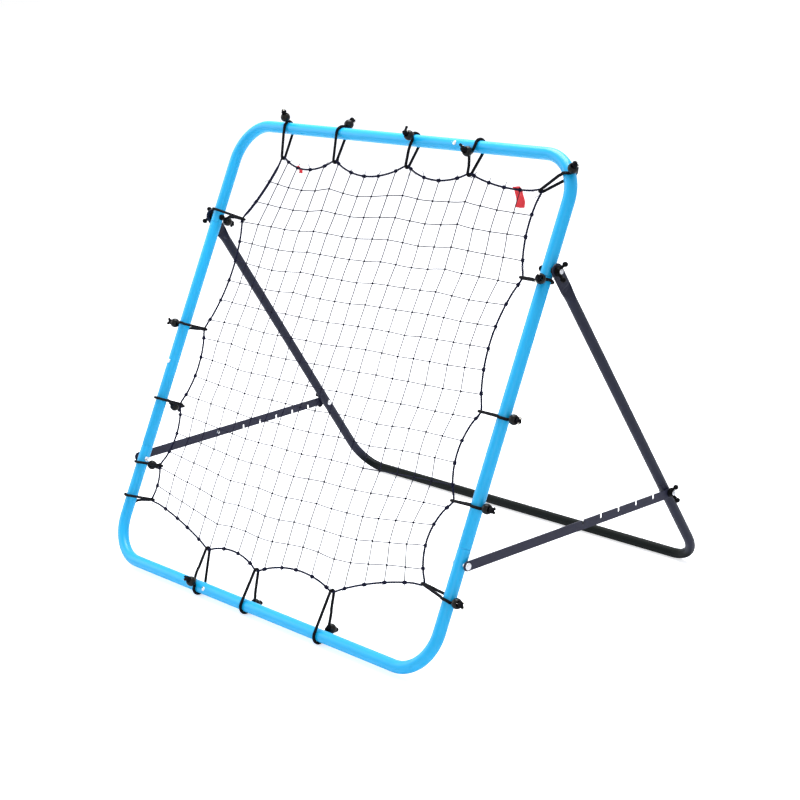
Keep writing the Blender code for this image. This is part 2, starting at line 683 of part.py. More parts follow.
def main():
    for item in list(bpy.data.objects):
        bpy.data.objects.remove(item, do_unlink=True)

    blue_paint = make_material("blue_powder_coat", (0.045, 0.450, 0.870), 0.35)
    black_paint = make_material("black_powder_coat", (0.026, 0.026, 0.034), 0.45)
    black_plastic = make_material("black_plastic", (0.012, 0.012, 0.014), 0.40)
    zinc = make_material("zinc_plate", (0.720, 0.720, 0.740), 0.30, 1.0)
    elastic = make_material("elastic_cord", (0.010, 0.010, 0.012), 0.80)
    ball_plastic = make_material("ball_plastic", (0.035, 0.035, 0.033), 0.25)
    rope = make_material("border_rope", (0.012, 0.012, 0.020), 0.85)
    twine = make_material("net_twine", (0.060, 0.060, 0.100), 0.80)

    root = make_empty("rebound_net", None)
    plane = make_empty("frame_plane", root, (0, 0, RAIL_Z), (-LEAN, 0, 0))
    top_bow = make_rail_bow("top_bow", True, blue_paint, plane)
    bottom_bow = make_rail_bow("bottom_bow", False, blue_paint, plane)
    side_tubes = {side: make_side_tube(side, blue_paint, plane) for side in (-1, 1)}
    make_rail_stud("rail_stud_top", top_bow, (0.214, FRAME_HEIGHT), zinc, plane)
    make_rail_stud("rail_stud_left", side_tubes[-1], (-HALF_WIDTH, 0.529), zinc, plane)
    make_rail_stud("rail_stud_bottom", bottom_bow, (-0.191, 0), zinc, plane)

    make_net(twine, plane)
    make_border_rope(rope, plane)
    ball_mesh = make_ball_mesh(ball_plastic)
    for number, tie in enumerate(TIES, 1):
        make_tie(number, tie, elastic, ball_mesh, plane)

    hinge = make_empty("stand_hinge", root, frame_point(UPPER_PIVOT), (leg_angle(), 0, 0))
    make_stand_bow(black_paint, hinge)
    for side in (-1, 1):
        make_hinge_bolt(side, black_plastic, plane)
        make_hinge_spacer(side, black_plastic, plane)
        make_bar_rivet(side, zinc, plane)
        make_leg(side, black_paint, hinge)
        make_lock_bolt(side, zinc, hinge)
        make_wing_nut(side_name("hinge_wing_nut", side), side, black_plastic, hinge,
                      HALF_WIDTH + LEG_OFFSET + FLAT_HALF_THICKNESS + GAP)
        lock = make_empty(side_name("lock_place", side), hinge, (0, 0, -LOCK_PLACE))
        make_wing_nut(side_name("lock_wing_nut", side), side, black_plastic, lock,
                      HALF_WIDTH + BAR_LOCK_OFFSET + BAR_THICKNESS + 2 * GAP)
        edge = side
        low = frame_point(LOWER_PIVOT) + ACROSS * (side * HALF_WIDTH)
        bar_hinge = make_empty(side_name("bar_hinge", side), root, low, (bar_angle(edge), 0, 0))
        make_bar(side, edge, black_paint, bar_hinge)

    stand_on_floor(root)


main()
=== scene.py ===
# Rebound net: the finish of its leaning tube frame, knotted net, ball ties, hinged stand and brace bars.
# Units are metres. X runs across the net, -Y is the playing side, +Z is up.
import json
import math
import random
from collections import namedtuple

import bmesh
import bpy
from mathutils import Matrix, Vector, noise


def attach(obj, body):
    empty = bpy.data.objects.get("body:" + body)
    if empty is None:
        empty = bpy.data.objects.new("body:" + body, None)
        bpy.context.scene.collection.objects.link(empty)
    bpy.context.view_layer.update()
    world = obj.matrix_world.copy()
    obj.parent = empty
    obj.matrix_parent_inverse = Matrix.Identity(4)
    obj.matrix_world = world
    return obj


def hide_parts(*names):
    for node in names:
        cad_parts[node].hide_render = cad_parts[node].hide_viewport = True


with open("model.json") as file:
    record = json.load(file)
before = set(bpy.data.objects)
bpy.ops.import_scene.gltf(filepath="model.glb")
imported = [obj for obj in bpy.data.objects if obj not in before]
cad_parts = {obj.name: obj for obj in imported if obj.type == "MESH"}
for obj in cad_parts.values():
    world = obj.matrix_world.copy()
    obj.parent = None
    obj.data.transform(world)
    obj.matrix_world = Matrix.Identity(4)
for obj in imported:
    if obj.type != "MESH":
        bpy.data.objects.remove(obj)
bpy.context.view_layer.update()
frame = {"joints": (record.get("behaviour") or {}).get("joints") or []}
noise.seed_set(1)            # unseeded, noise vectors follow the clock and the net hangs otherwise each run

# Frame of rail tube
HALF_WIDTH = 0.605           # from the middle to a side rail's axis
FRAME_HEIGHT = 1.200
RAIL_R = 0.015
RAIL_SIDES = 48
CORNER_R = 0.104
LEAN = math.radians(28.4)
LOWER_SEAM = 0.295
UPPER_SEAM = 0.922
UPPER_PIVOT = 0.938
LOWER_PIVOT = 0.261
SPIGOT_R = 0.0129
SPIGOT_LENGTH = 0.052
SHOULDER = 0.0012            # how far a side tube rounds over before it is swaged down
GAP = 0.0003
LIP = 0.0006                 # how far a cut tube end is rounded over
PLUGS = (("top", 0.214, FRAME_HEIGHT), ("left", -HALF_WIDTH, 0.529), ("bottom", -0.191, 0))

# Stand
LEG_R = 0.0125
LEG_SIDES = 40
LEG_X = 0.6328
LEG_LENGTH = 0.9545
STAND_CORNER_R = 0.084
LEG_SEAM = 0.672
SLEEVE_R = 0.0110
SLEEVE_LENGTH = 0.034
FLAT_HALF_WIDTH = 0.0175
FLAT_HALF_THICKNESS = 0.0015
FLAT_END = 0.045
ROUND_START = 0.085
FLAT_CREASE = 0.0055         # depth of the dent where a leg swells back to round
BEND_WRINKLE = 0.0010
LOCK_PLACE = 0.7035

# Brace bars
BAR_HALF_WIDTH = 0.0115
BAR_THICKNESS = 0.003
BAR_OFFSET = 0.0220
BAR_LOCK_OFFSET = 0.0411
BAR_BEYOND = 0.016
BAR_END_R = 0.004
BAR_EDGE_R = 0.00035
NOTCH_COUNT = 6
NOTCH_PITCH = 0.0604
NOTCH_R = 0.0034
NOTCH_MOUTH = 0.020          # height of the cutter for a slot's mouth
BOLT_SEAT = 0.003
BAR_STUD_PLACE = 0.272

# Bolts and nuts
BOLT_R = 0.003
HOLE_R = 0.0033
SPACER_R = 0.0085
SPACER_EDGE = 0.0005
RAIL_FACE = RAIL_R + GAP     # from a rail's axis to what lies against it
WING_SPROUT = (0.003, 0.0110, 0.0105)
WING_STEPS = ((0.0035, 0.0038, 0.92), (0.0042, 0.0050, 1.0), (0.0036, 0.0040, 1.0))  # run, rise, narrowing
THUMB_BULB = (0.0062, 0.0070, 0.0064)
NUT_TURNS = {"left": (62, 20), "right": (-44, -22)}      # of each side's hinge and brace nut, in degrees

# Ball ties
CORD_R = 0.0036
CORD_STEP = 0.0025           # between the points of a drawn cord
BALL_R = 0.0125
BALL_BORE_R = 0.0078
STRAND_SPREAD = 0.0038
WRAP_R = RAIL_R + CORD_R + 0.0002
NECK_R = 0.004
BALL_STAND_OFF = 0.0315 - WRAP_R
BALL_PULL = 0.022            # length of strand over which a ball's shift along the rail dies out
KNOT_R = 0.0013              # size of the knot's turns beyond a ball
TAIL = 0.009                 # of each cord end beyond its knot

# Net
ROPE_R = 0.0025
STRAND_R = 0.00142
STRAND_OFFSET = 0.00130      # from the rope's middle to the middle of a strand
LOOP_R = ROPE_R + CORD_R - 0.0003
ROPE_FLAT = 0.007
ROPE_STEP = 0.004
LAY_LENGTH = 0.015           # of the rope's strands round each other
LAY_STEPS = 9
LAP_FROM, LAP_TO = Vector((-0.425, 0, 1.095)), Vector((-0.493, 0, 0.957))
LAP_SWELL = 1.45             # how much thicker the rope is where its two ends are lapped
TWINE_R = 0.0012
TWINE_BOW = 0.0012           # slack of a stretch of twine between two knots
NET_KNOT_R = 0.0030
CELLS = 18                   # of the mesh, across and up
INNER = range(1, CELLS)
ROPE_PULL_FADE = 3           # cells over which the rope's scallops die out in the mesh
SLACK = 0.0035               # how far a knot strays from the sheet's even shape
FINE_SLACK = 0.0016

# The mesh as it hangs: how far across and up the frame a knot lies, each a sum of value * x ** m * y ** n
# with x and y from -1 at the left and bottom to 1
SHEET_ACROSS = {(0, 0): 0.0022, (0, 1): 0.0150, (0, 2): 0.0051, (0, 3): 0.0018, (1, 0): 0.4979,
                (1, 1): -0.0031, (1, 2): -0.0069, (2, 0): -0.0005, (2, 1): -0.0095, (3, 0): 0.0053}
SHEET_UP = {(0, 0): 0.6138, (0, 1): 0.4919, (0, 2): 0.0008, (0, 3): 0.0006, (1, 0): 0.0157,
            (1, 1): 0.0002, (1, 2): -0.0040, (2, 0): 0.0072, (2, 1): -0.0130, (3, 0): -0.0078}
# How strongly the scallops of the top, right, bottom and left rope draw it, and that rope's mean place
ROPE_PULLS = ((0.50, 1.107), (0.91, 0.51), (0.50, 0.13), (0.59, -0.50))

# Each tie as on the frame: edge, place along its rail, border point across and up, sag after it, the ball's
# angle or side and depth, and how far the ball is shifted along the rail
Tie = namedtuple("Tie", "edge place border sag ball shift")
TIES = [Tie(*facts) for facts in (
    ("top", -0.424, (-0.411, 1.123), 0.030, 43, 0),
    ("top", -0.212, (-0.205, 1.128), 0.035, -23, 0.003),
    ("top", 0.064, (0.061, 1.136), 0.027, 84, 0.006),
    ("top", 0.284, (0.279, 1.134), 0.013, ("front", 0.021), -0.005),
    ("corner", 38, (0.518, 1.114), 0.018, 39, 0.010),
    ("right", 0.911, (0.538, 0.911), 0.037, 66, 0.001),
    ("right", 0.597, (0.534, 0.597), 0.033, 1, 0),
    ("right", 0.393, (0.532, 0.389), 0.038, 3, 0),
    ("right", 0.181, (0.519, 0.193), 0.012, 12, 0.004),
    ("bottom", 0.246, (0.241, 0.104), 0.028, ("back", 0.021), 0),
    ("bottom", -0.032, (-0.036, 0.087), 0.022, -106, 0.006),
    ("bottom", -0.230, (-0.236, 0.094), 0.008, 105, -0.004),
    ("left", 0.152, (-0.518, 0.165), 0.010, -44, -0.009),
    ("left", 0.245, (-0.527, 0.257), 0.026, ("back", 0.004), 0.004),
    ("left", 0.424, (-0.521, 0.428), 0.025, ("back", 0.028), -0.008),
    ("left", 0.632, (-0.517, 0.635), 0.032, 19, 0),
    ("left", 0.953, (-0.499, 0.944), 0.010, ("back", 0.006), -0.017),
)]
CORNER_TIES = (0, 4, 8, 12, len(TIES))      # from the top left round to itself

# Where the cut ends beyond a ball's knot point, by tie: along the rail, back and outward
CUT_ENDS = {
    1: ((-0.004, -0.002, 0.006), (0.002, -0.004, 0.004)),
    2: ((0.011, 0.005, 0.002), (0.009, 0.002, -0.003)),
    3: ((0.001, 0.002, 0.015), (0.003, 0.001, 0.006)),
    4: ((-0.010, -0.001, 0.015), (-0.003, -0.002, 0.006)),
    5: ((0.007, 0.002, 0.003), (-0.002, -0.003, 0.006)),
    10: ((-0.001, 0.004, 0.001), (-0.002, 0.003, -0.002)),
    11: ((0.006, -0.010, 0.006), (0.002, -0.004, 0.007)),
    12: ((0.008, -0.003, -0.002), (0.003, -0.003, 0.004)),
    17: ((-0.004, 0.006, -0.004), (-0.008, 0.003, -0.001)),
}

# Where the rope is frayed: index of the tie, place beside it, number of wisps and their length
FRAYS = ((0, 0.016, 5, 0.015), (1, 0.014, 4, 0.012), (2, 0.018, 7, 0.018), (3, 0.012, 4, 0.011),
         (4, 0.004, 4, 0.022), (5, -0.022, 5, 0.014), (9, 0.010, 3, 0.009), (12, -0.012, 5, 0.012),
         (13, 0.016, 4, 0.011))

# Camera, where the photograph was taken from
CAMERA_PLACE = (3.320, -2.8489, 1.7563)
CAMERA_AZIMUTH = math.radians(48.646)
CAMERA_ELEVATION = math.radians(16.825)
CAMERA_ROLL = math.radians(-4.152)
CAMERA_LENS = 81.83
SENSOR = 36

# Studio: each lamp's name, place, size and power in watts
LAMPS = (("overhead", (-0.6, 1.1, 4.2), 3.4, 220), ("left", (-4.0, -2.2, 2.2), 3.6, 45),
         ("right", (3.6, -3.0, 2.0), 3.0, 22))
LAMP_TARGET = Vector((0, 0, 0.5))
WORLD_STRENGTH = 0.58
FLOOR_GLOW = 0.62

ACROSS, BACK, UP = Vector((1, 0, 0)), Vector((0, 1, 0)), Vector((0, 0, 1))
SIDES = (("left", -1), ("right", 1))
QUARTER = math.pi / 2
FACING_X = (0, QUARTER, 0)


# Where each body's own upright drawing goes
def joint_place(name):
    return Vector(next(joint["pos_m"] for joint in frame["joints"] if joint["name"] == name))


def shifted(x, y, z):
    return Matrix.Translation((x, y, z))


def turned_by(angle, axis):
    return Matrix.Rotation(angle, 4, axis)


HINGE = joint_place("stand_fold")
LEG_ANGLE = math.acos((HINGE.z - LEG_R * math.cos(math.pi / 12)) / LEG_LENGTH)
FRAME_PLACE = shifted(*HINGE) @ turned_by(-LEAN, "X") @ shifted(0, 0, -UPPER_PIVOT)
STAND_PLACE = shifted(*HINGE) @ turned_by(LEG_ANGLE, "X")


def outward(x, z, side):
    """Stands a piece drawn along Z on a side of its body, pointing out."""
    return shifted(x, 0, z) @ turned_by(side * QUARTER, "Y")


# Colours and nodes
def linear(code):
    """A linear colour from an sRGB hex code."""
    values = [int(code[k:k + 2], 16) / 255 for k in (0, 2, 4)]
    return (*[value / 12.92 if value <= 0.04045 else ((value + 0.055) / 1.055) ** 2.4 for value in values], 1)


def set_inputs(node, inputs):
    """Sets a node's inputs. One that is given another node's output is linked."""
    for name, value in inputs.items():
        if isinstance(value, bpy.types.NodeSocket):
            node.id_data.links.new(value, node.inputs[name])
        else:
            node.inputs[name].default_value = value


def add_node(owner, kind, inputs=None, output=0, **settings):
    """Adds a node to a material or world, with its inputs and settings, and gives one of its outputs."""
    node = owner.node_tree.nodes.new("ShaderNode" + kind)
    for name, value in settings.items():
        setattr(node, name, value)
    set_inputs(node, inputs or {})
    return node.outputs[output] if node.outputs else None


def shader_of(material):
    return material.node_tree.nodes["Principled BSDF"]


def new_material(name, constants):
    material = bpy.data.materials.new(name)
    material.use_nodes = True
    set_inputs(shader_of(material), constants)
    return material


def lay_surface(material, colour, roughness, relief=None):
    """Links colour and roughness, each (pattern, low, high), and relief, (height, strength, distance)."""
    low, high = (linear(tone) if isinstance(tone, str) else tone for tone in colour[1:])
    looks = {"Base Color": add_node(material, "Mix", {0: colour[0], 6: low, 7: high}, 2, data_type="RGBA"),
             "Roughness": add_node(material, "MapRange", dict(zip((0, 3, 4), roughness)))}
    if relief:
        looks["Normal"] = add_node(material, "Bump", dict(zip(("Height", "Strength", "Distance"), relief)))
    set_inputs(shader_of(material), looks)
    return material


def blue_powder_coat():
    # Polyester powder baked on steel tube: an even sky blue with a soft orange peel and a few pale chips
    coat = new_material("blue_powder_coat", {"Coat Weight": 0.10, "Coat Roughness": 0.20,
                                             "Specular IOR Level": 0.4})
    place = add_node(coat, "TexCoord", output="Object")
    patches = add_node(coat, "TexNoise", {"Vector": place, "Scale": 9, "Detail": 3})
    powder = add_node(coat, "Mix", {0: patches, 6: linear("10B4F2"), 7: linear("1ABEFA")}, 2, data_type="RGBA")
    chip_noise = add_node(coat, "TexNoise", {"Vector": place, "Scale": 150, "Detail": 1})
    chips = add_node(coat, "MapRange", {0: chip_noise, 1: 0.83, 2: 0.84})
    haze = add_node(coat, "TexNoise", {"Vector": place, "Scale": 60, "Detail": 4})
    peel = add_node(coat, "TexNoise", {"Vector": place, "Scale": 480, "Detail": 2})
    return lay_surface(coat, (chips, powder, "C9E4F2"), (haze, 0.26, 0.44), (peel, 0.35, 0.00025))


def black_powder_coat(name, dark, pale):
    # Epoxy powder on thin steel: slate black with a fine satin grain, rubbed greyer in places. Low down, where
    # the tube lies on the floor, painted shade turns it a green black, and it is less specular, so the ground bar
    # reads darkest
    coat = new_material(name, {})
    place = add_node(coat, "TexCoord", output="Object")
    height = add_node(coat, "SeparateXYZ", {0: place}, "Z")
    # Height of the tube above the floor: low down its colour is painted shade and its reflection duller
    raised = add_node(coat, "MapRange", {0: height, 1: 0.028, 2: 0.060})
    patches = add_node(coat, "TexNoise", {"Vector": place, "Scale": 14, "Detail": 5})
    # The first pair of tones is painted shade for the tube on the floor, the second the powder's own slate black
    tones = [add_node(coat, "Mix", {0: patches, 6: linear(low), 7: linear(high)}, 2, data_type="RGBA")
             for low, high in (("010504", "040D0B"), (dark, pale))]
    powder = add_node(coat, "Mix", {0: raised, 6: tones[0], 7: tones[1]}, 2, data_type="RGBA")
    rub_noise = add_node(coat, "TexNoise", {"Vector": place, "Scale": 110, "Detail": 4})
    rubs = add_node(coat, "MapRange", {0: rub_noise, 1: 0.70, 2: 0.80, 4: 0.5})
    shine = add_node(coat, "MapRange", {0: raised, 3: 0.10, 4: 0.28})
    set_inputs(shader_of(coat), {"Specular IOR Level": shine})
    grain = add_node(coat, "TexNoise", {"Vector": place, "Scale": 900, "Detail": 2})
    return lay_surface(coat, (rubs, powder, "34363F"), (rub_noise, 0.34, 0.58), (grain, 0.30, 0.0002))


def moulded_nylon():
    # Injection moulded nylon: nearly black, spark-eroded grain, a dull sheen where fingers rub it
    nylon = new_material("moulded_nylon", {"Specular IOR Level": 0.05})
    place = add_node(nylon, "TexCoord", output="Object")
    worn = add_node(nylon, "TexNoise", {"Vector": place, "Scale": 120, "Detail": 3})
    grain = add_node(nylon, "TexVoronoi", {"Vector": place, "Scale": 1400})
    return lay_surface(nylon, (worn, "040405", "0B0B0D"), (worn, 0.32, 0.55), (grain, 0.20, 0.0001))


def zinc_plate():
    # Bright zinc on pressed steel: pale silver with cloudy passivation and a fine grit
    zinc = new_material("zinc_plate", {"Metallic": 1.0})
    place = add_node(zinc, "TexCoord", output="Object")
    cloud = add_node(zinc, "TexNoise", {"Vector": place, "Scale": 260, "Detail": 3})
    grit = add_node(zinc, "TexNoise", {"Vector": place, "Scale": 1600, "Detail": 1})
    return lay_surface(zinc, (cloud, "D3D5DA", "EFF0F2"), (cloud, 0.16, 0.38), (grit, 0.15, 0.0001))


def ball_moulding():
    # Polypropylene ball: charcoal, glossy skin with faint flow marks and dust
    ball = new_material("ball_moulding", {"Coat Weight": 0.2, "Coat Roughness": 0.08, "Specular IOR Level": 0.1})
    place = add_node(ball, "TexCoord", output="Object")
    flow = add_node(ball, "TexNoise", {"Vector": place, "Scale": 90, "Detail": 4, "Distortion": 1.5})
    dust = add_node(ball, "TexNoise", {"Vector": place, "Scale": 1100, "Detail": 2})
    return lay_surface(ball, (flow, "0A0A0A", "161615"), (flow, 0.20, 0.42), (dust, 0.12, 0.0001))


def braided_elastic():
    # Shock cord: a black polyester braid over rubber. Its UV map is in metres, round and along the cord
    elastic = new_material("braided_elastic", {"Specular IOR Level": 0.12})
    axes = add_node(elastic, "SeparateXYZ", {0: add_node(elastic, "UVMap")}).node.outputs
    yarns = []
    for slope in (1, -1):
        # Yarns cross at 45 degrees, 1.7 mm apart, which is drawn twice as coarse as the real braid
        lean = add_node(elastic, "Math", {0: axes[0], 1: slope, 2: axes[1]}, operation="MULTIPLY_ADD")
        phase = add_node(elastic, "Math", {0: lean, 1: math.tau / 0.0017}, operation="MULTIPLY")
        yarns.append(add_node(elastic, "Math", {0: phase}, operation="SINE"))
    braid = add_node(elastic, "Math", {0: yarns[0], 1: yarns[1]}, operation="MAXIMUM")
    return lay_surface(elastic, (braid, "030306", "0F0F15"), (braid, 0.85, 0.60), (braid, 0.6, 0.0003))


def cut_rubber_glint():
    # Natural rubber strands bared where an elastic is cut: cream, dull, with the strands' ends as fine cells. The
    # cream is near white, so the cut ends also carry painted glints
    rubber = new_material("cut_rubber_glint", {"Specular IOR Level": 0.2})
    place = add_node(rubber, "TexCoord", output="Object")
    cells = add_node(rubber, "TexVoronoi", {"Vector": place, "Scale": 1500})
    return lay_surface(rubber, (cells, "F6F3EA", "CFC8B6"), (cells, 0.55, 0.8))


def twisted_fibre(name, dark, pale, pitch, share):
    # Twisted polyethylene filaments: dark fibres with a share of paler ones, turning along the line
    fibre = new_material(name, {"Specular IOR Level": 0.15})
    spot = add_node(fibre, "UVMap")
    axes = add_node(fibre, "SeparateXYZ", {0: spot}).node.outputs
    turn = add_node(fibre, "Math", {0: axes[1], 1: math.tau / pitch}, operation="MULTIPLY")
    around = add_node(fibre, "Math", {0: axes[0], 1: math.tau, 2: turn}, operation="MULTIPLY_ADD")
    wave = add_node(fibre, "Math", {0: around}, operation="SINE")
    stray = add_node(fibre, "TexNoise", {"Vector": spot, "Scale": 300, "Detail": 3})
    mixed = add_node(fibre, "Math", {0: stray, 1: 0.8, 2: wave}, operation="MULTIPLY_ADD")
    fibres = add_node(fibre, "MapRange", {0: mixed, 1: 0.9 - share, 2: 1.5 - share})
    return lay_surface(fibre, (fibres, dark, pale), (fibres, 0.75, 0.50), (mixed, 0.5, 0.0002))


def red_ribbon():
    # Woven polyester tape: bright red, a tight plain weave with a silky sheen
    ribbon = new_material("red_ribbon", {"Sheen Weight": 0.3, "Sheen Roughness": 0.4})
    spot = add_node(ribbon, "UVMap")
    # Threads 0.5 mm apart
    threads = {"Vector": spot, "Scale": 1 / 0.0005 / math.tau, "Distortion": 0.4}
    warp, weft = (add_node(ribbon, "TexWave", threads, "Fac", bands_direction=way) for way in ("X", "Y"))
    weave = add_node(ribbon, "Math", {0: warp, 1: weft}, operation="MULTIPLY")
    fold = add_node(ribbon, "TexNoise", {"Vector": spot, "Scale": 70, "Detail": 3})
    shade = add_node(ribbon, "Math", {0: weave, 1: 0.3, 2: fold}, operation="MULTIPLY_ADD")
    return lay_surface(ribbon, (shade, "FA1E2A", "FF464E"), (weave, 0.7, 0.5), (weave, 0.4, 0.0002))


BLUE = blue_powder_coat()
BLACK = black_powder_coat("black_powder_coat", "131628", "1D2135")
# The brace bars get a paler copy of the same black powder coat, painted light for their flat faces catching the
# lamps
LIT_BAR_BLACK = black_powder_coat("lit_slate_powder_coat", "1E1F30", "2C2D42")
NYLON = moulded_nylon()
ZINC = zinc_plate()
BALL = ball_moulding()
ELASTIC = braided_elastic()
ROPE = twisted_fibre("laid_rope", "0A0C24", "262A52", 0.004, 0.0)
TWINE = twisted_fibre("net_twine", "0A0A1E", "2C2C50", 0.007, 0.1)
# The knots get a darker copy of the twine, painted shade for the crevices between their turns
SHADED_KNOT_TWINE = twisted_fibre("shaded_knot_twine", "060614", "1A1A34", 0.002, 0.1)
FRAY = twisted_fibre("frayed_fibre", "5C5C66", "D8D8DC", 0.004, 0.6)
RED = red_ribbon()
RUBBER_GLINT = cut_rubber_glint()


# Bench tools: a ring is drawn out, bent and narrowed in edit mode, then closed
def only(piece):
    bpy.ops.object.select_all(action="DESELECT")
    piece.select_set(True)
    bpy.context.view_layer.objects.active = piece


def start_ring(name, centre, radius, sides):
    bpy.ops.mesh.primitive_circle_add(vertices=sides, radius=radius, location=centre)
    piece = bpy.context.object
    piece.name = piece.data.name = name
    bpy.ops.object.transform_apply()
    bpy.ops.object.mode_set(mode="EDIT")
    bpy.ops.mesh.select_all(action="SELECT")
    return Vector(centre)


def push(centre, step, scale=1.0):
    """Draws the ring out by a step and narrows or widens it."""
    bpy.ops.mesh.extrude_region_move(TRANSFORM_OT_translate={"value": step})
    centre = centre + Vector(step)
    if scale != 1:
        bpy.ops.transform.resize(value=(scale, scale, scale), center_override=centre)
    return centre


def push_along(centre, profile):
    """Draws the ring up or down through (height, radius) pairs. It has the first pair's radius already."""
    for (_, before), (z, radius) in zip(profile, profile[1:]):
        centre = push(centre, (0, 0, z - centre.z), radius / before)
    return centre


def bend(centre, pivot, angle, steps):
    """Bends the ring round a pivot about Y. The spin operator turns against its angle's sign."""
    bpy.ops.mesh.spin(steps=steps, angle=-angle, center=pivot, axis=BACK)
    return Vector(pivot) + Matrix.Rotation(angle, 3, "Y") @ (centre - Vector(pivot))


def close_piece():
    bpy.ops.mesh.select_all(action="SELECT")
    bpy.ops.mesh.remove_doubles(threshold=0.000005)
    bpy.ops.mesh.fill_holes(sides=0)
    bpy.ops.mesh.select_all(action="SELECT")
    bpy.ops.mesh.normals_make_consistent(inside=False)
    bpy.ops.object.mode_set(mode="OBJECT")
    return bpy.context.object


def turned(name, profile, sides=32):
    """A piece turned about Z from (height, radius) pairs. A bored one's pairs end where they start."""
    push_along(start_ring(name, (0, 0, profile[0][0]), profile[0][1], sides), profile)
    return close_piece()


def bent_tube(name, end, half_width, bend_r, far, sides, steps):
    """A U of tube from its left end, given in (height, radius) pairs, round the far rail to its right one."""
    way = math.copysign(1, far - end[0][0])
    bend_x, bend_z = half_width - bend_r, far - way * bend_r
    centre = push_along(start_ring(name, (-half_width, 0, end[0][0]), end[0][1], sides), end)
    centre = push(centre, (0, 0, bend_z - centre.z))
    centre = bend(centre, (-bend_x, 0, bend_z), way * QUARTER, steps)
    centre = push(centre, (2 * bend_x, 0, 0))
    centre = bend(centre, (bend_x, 0, bend_z), way * QUARTER, steps)
    centre = push(centre, (0, 0, end[-1][0] - centre.z))
    push_along(centre, end[::-1])
    return close_piece()


def dome(base, rise, radius):
    """Pairs for a domed end, from its rim nearly to its middle."""
    angles = [math.radians(86) * k / 7 for k in range(8)]
    return [(base + rise * math.sin(angle), radius * math.cos(angle)) for angle in angles]


def dome_below(base, rise, radius):
    """Pairs for a domed head underneath, from its middle to its rim."""
    return [(-z, r) for z, r in dome(base, rise, radius)][::-1]


def eased(share):
    """A share held between 0 and 1, with soft ends."""
    share = min(1, max(0, share))
    return share * share * (3 - 2 * share)


def apply_modifier(piece, kind, **settings):
    only(piece)
    modifier = piece.modifiers.new(kind.title(), kind)
    for name, value in settings.items():
        setattr(modifier, name, value)
    bpy.ops.object.modifier_apply(modifier=modifier.name)


def combine(piece, other, operation):
    """Cuts another piece out of one or joins it on, and clears the other away."""
    apply_modifier(piece, "BOOLEAN", operation=operation, object=other)
    bpy.data.objects.remove(other, do_unlink=True)


def start_block(middle, size):
    bpy.ops.mesh.primitive_cube_add(size=1, location=middle, scale=size)
    bpy.ops.object.transform_apply()
    return bpy.context.object


def start_rod(middle, radius, depth, sides=24, facing=FACING_X):
    bpy.ops.mesh.primitive_cylinder_add(vertices=sides, radius=radius, depth=depth, location=middle,
                                        rotation=facing)
    return bpy.context.object


def drill(piece, place):
    combine(piece, start_rod(place, HOLE_R, 0.08), "DIFFERENCE")


def join(pieces, name):
    """Joins pieces into the first one."""
    only(pieces[0])
    for piece in pieces:
        piece.select_set(True)
    bpy.ops.object.join()
    pieces[0].name = pieces[0].data.name = name
    return pieces[0]


def fit(piece, body, node, slot, material, place=FRAME_PLACE):
    """Puts a finished piece in its place on its body, in the stead of a CAD node where it has one."""
    only(piece)
    piece.matrix_world = place @ piece.matrix_world
    bpy.ops.object.transform_apply()
    bpy.ops.object.shade_smooth_by_angle(angle=math.radians(35))
    piece.data.materials.clear()
    piece.data.materials.append(material)
    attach(piece, body)
    if node:
        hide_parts(node)
    return piece


def fit_copy(model, name, *facts):
    """Fits a copy of a modelled piece, with its own mesh."""
    piece = model.copy()
    piece.data = model.data.copy()
    piece.name = piece.data.name = name
    bpy.context.collection.objects.link(piece)
    fit(piece, *facts)


# Frame of rail tube
def make_rail_bow(name, node, seam, far):
    """The U of rail tube that runs from one seam round the far rail to the other, bored for the side tubes."""
    way = math.copysign(1, far - seam)
    bore = SPIGOT_R + GAP
    end = [(seam + way * SPIGOT_LENGTH, bore), (seam + way * LIP, bore), (seam, RAIL_R - LIP),
           (seam + way * LIP, RAIL_R)]
    bow = bent_tube(name, end, HALF_WIDTH, CORNER_R, far, RAIL_SIDES, 20)
    fit(bow, "frame", node, "blue_powder_coat", BLUE)


def make_side_tube():
    """A straight side rail with swaged ends that plug into the bows."""
    low, high = LOWER_SEAM + GAP, UPPER_SEAM - GAP
    end = [(SPIGOT_LENGTH - 0.001, SPIGOT_R - 0.001), (SPIGOT_LENGTH - 0.004, SPIGOT_R), (0, SPIGOT_R),
           (0, RAIL_R - SHOULDER), (-SHOULDER * 0.3, RAIL_R - SHOULDER * 0.3), (-SHOULDER, RAIL_R)]
    profile = [(low - beyond, r) for beyond, r in end] + [(high + beyond, r) for beyond, r in end[::-1]]
    return turned("side_rail", profile, RAIL_SIDES)


# Ropes and cords: curves through evenly spaced points, made meshes with a UV map in metres
def path_length(points):
    return sum((b - a).length for a, b in zip(points, points[1:]))


def spaced(points, step):
    """The same path with its points evenly spaced."""
    lengths = [(b - a).length for a, b in zip(points, points[1:])]
    total = sum(lengths)
    count = max(2, round(total / step))
    result = []
    k, passed = 0, 0.0
    for n in range(count + 1):
        wanted = total * n / count
        while k < len(lengths) - 1 and passed + lengths[k] < wanted:
            passed += lengths[k]
            k += 1
        result.append(points[k].lerp(points[k + 1], min(1.0, (wanted - passed) / lengths[k])))
    return result


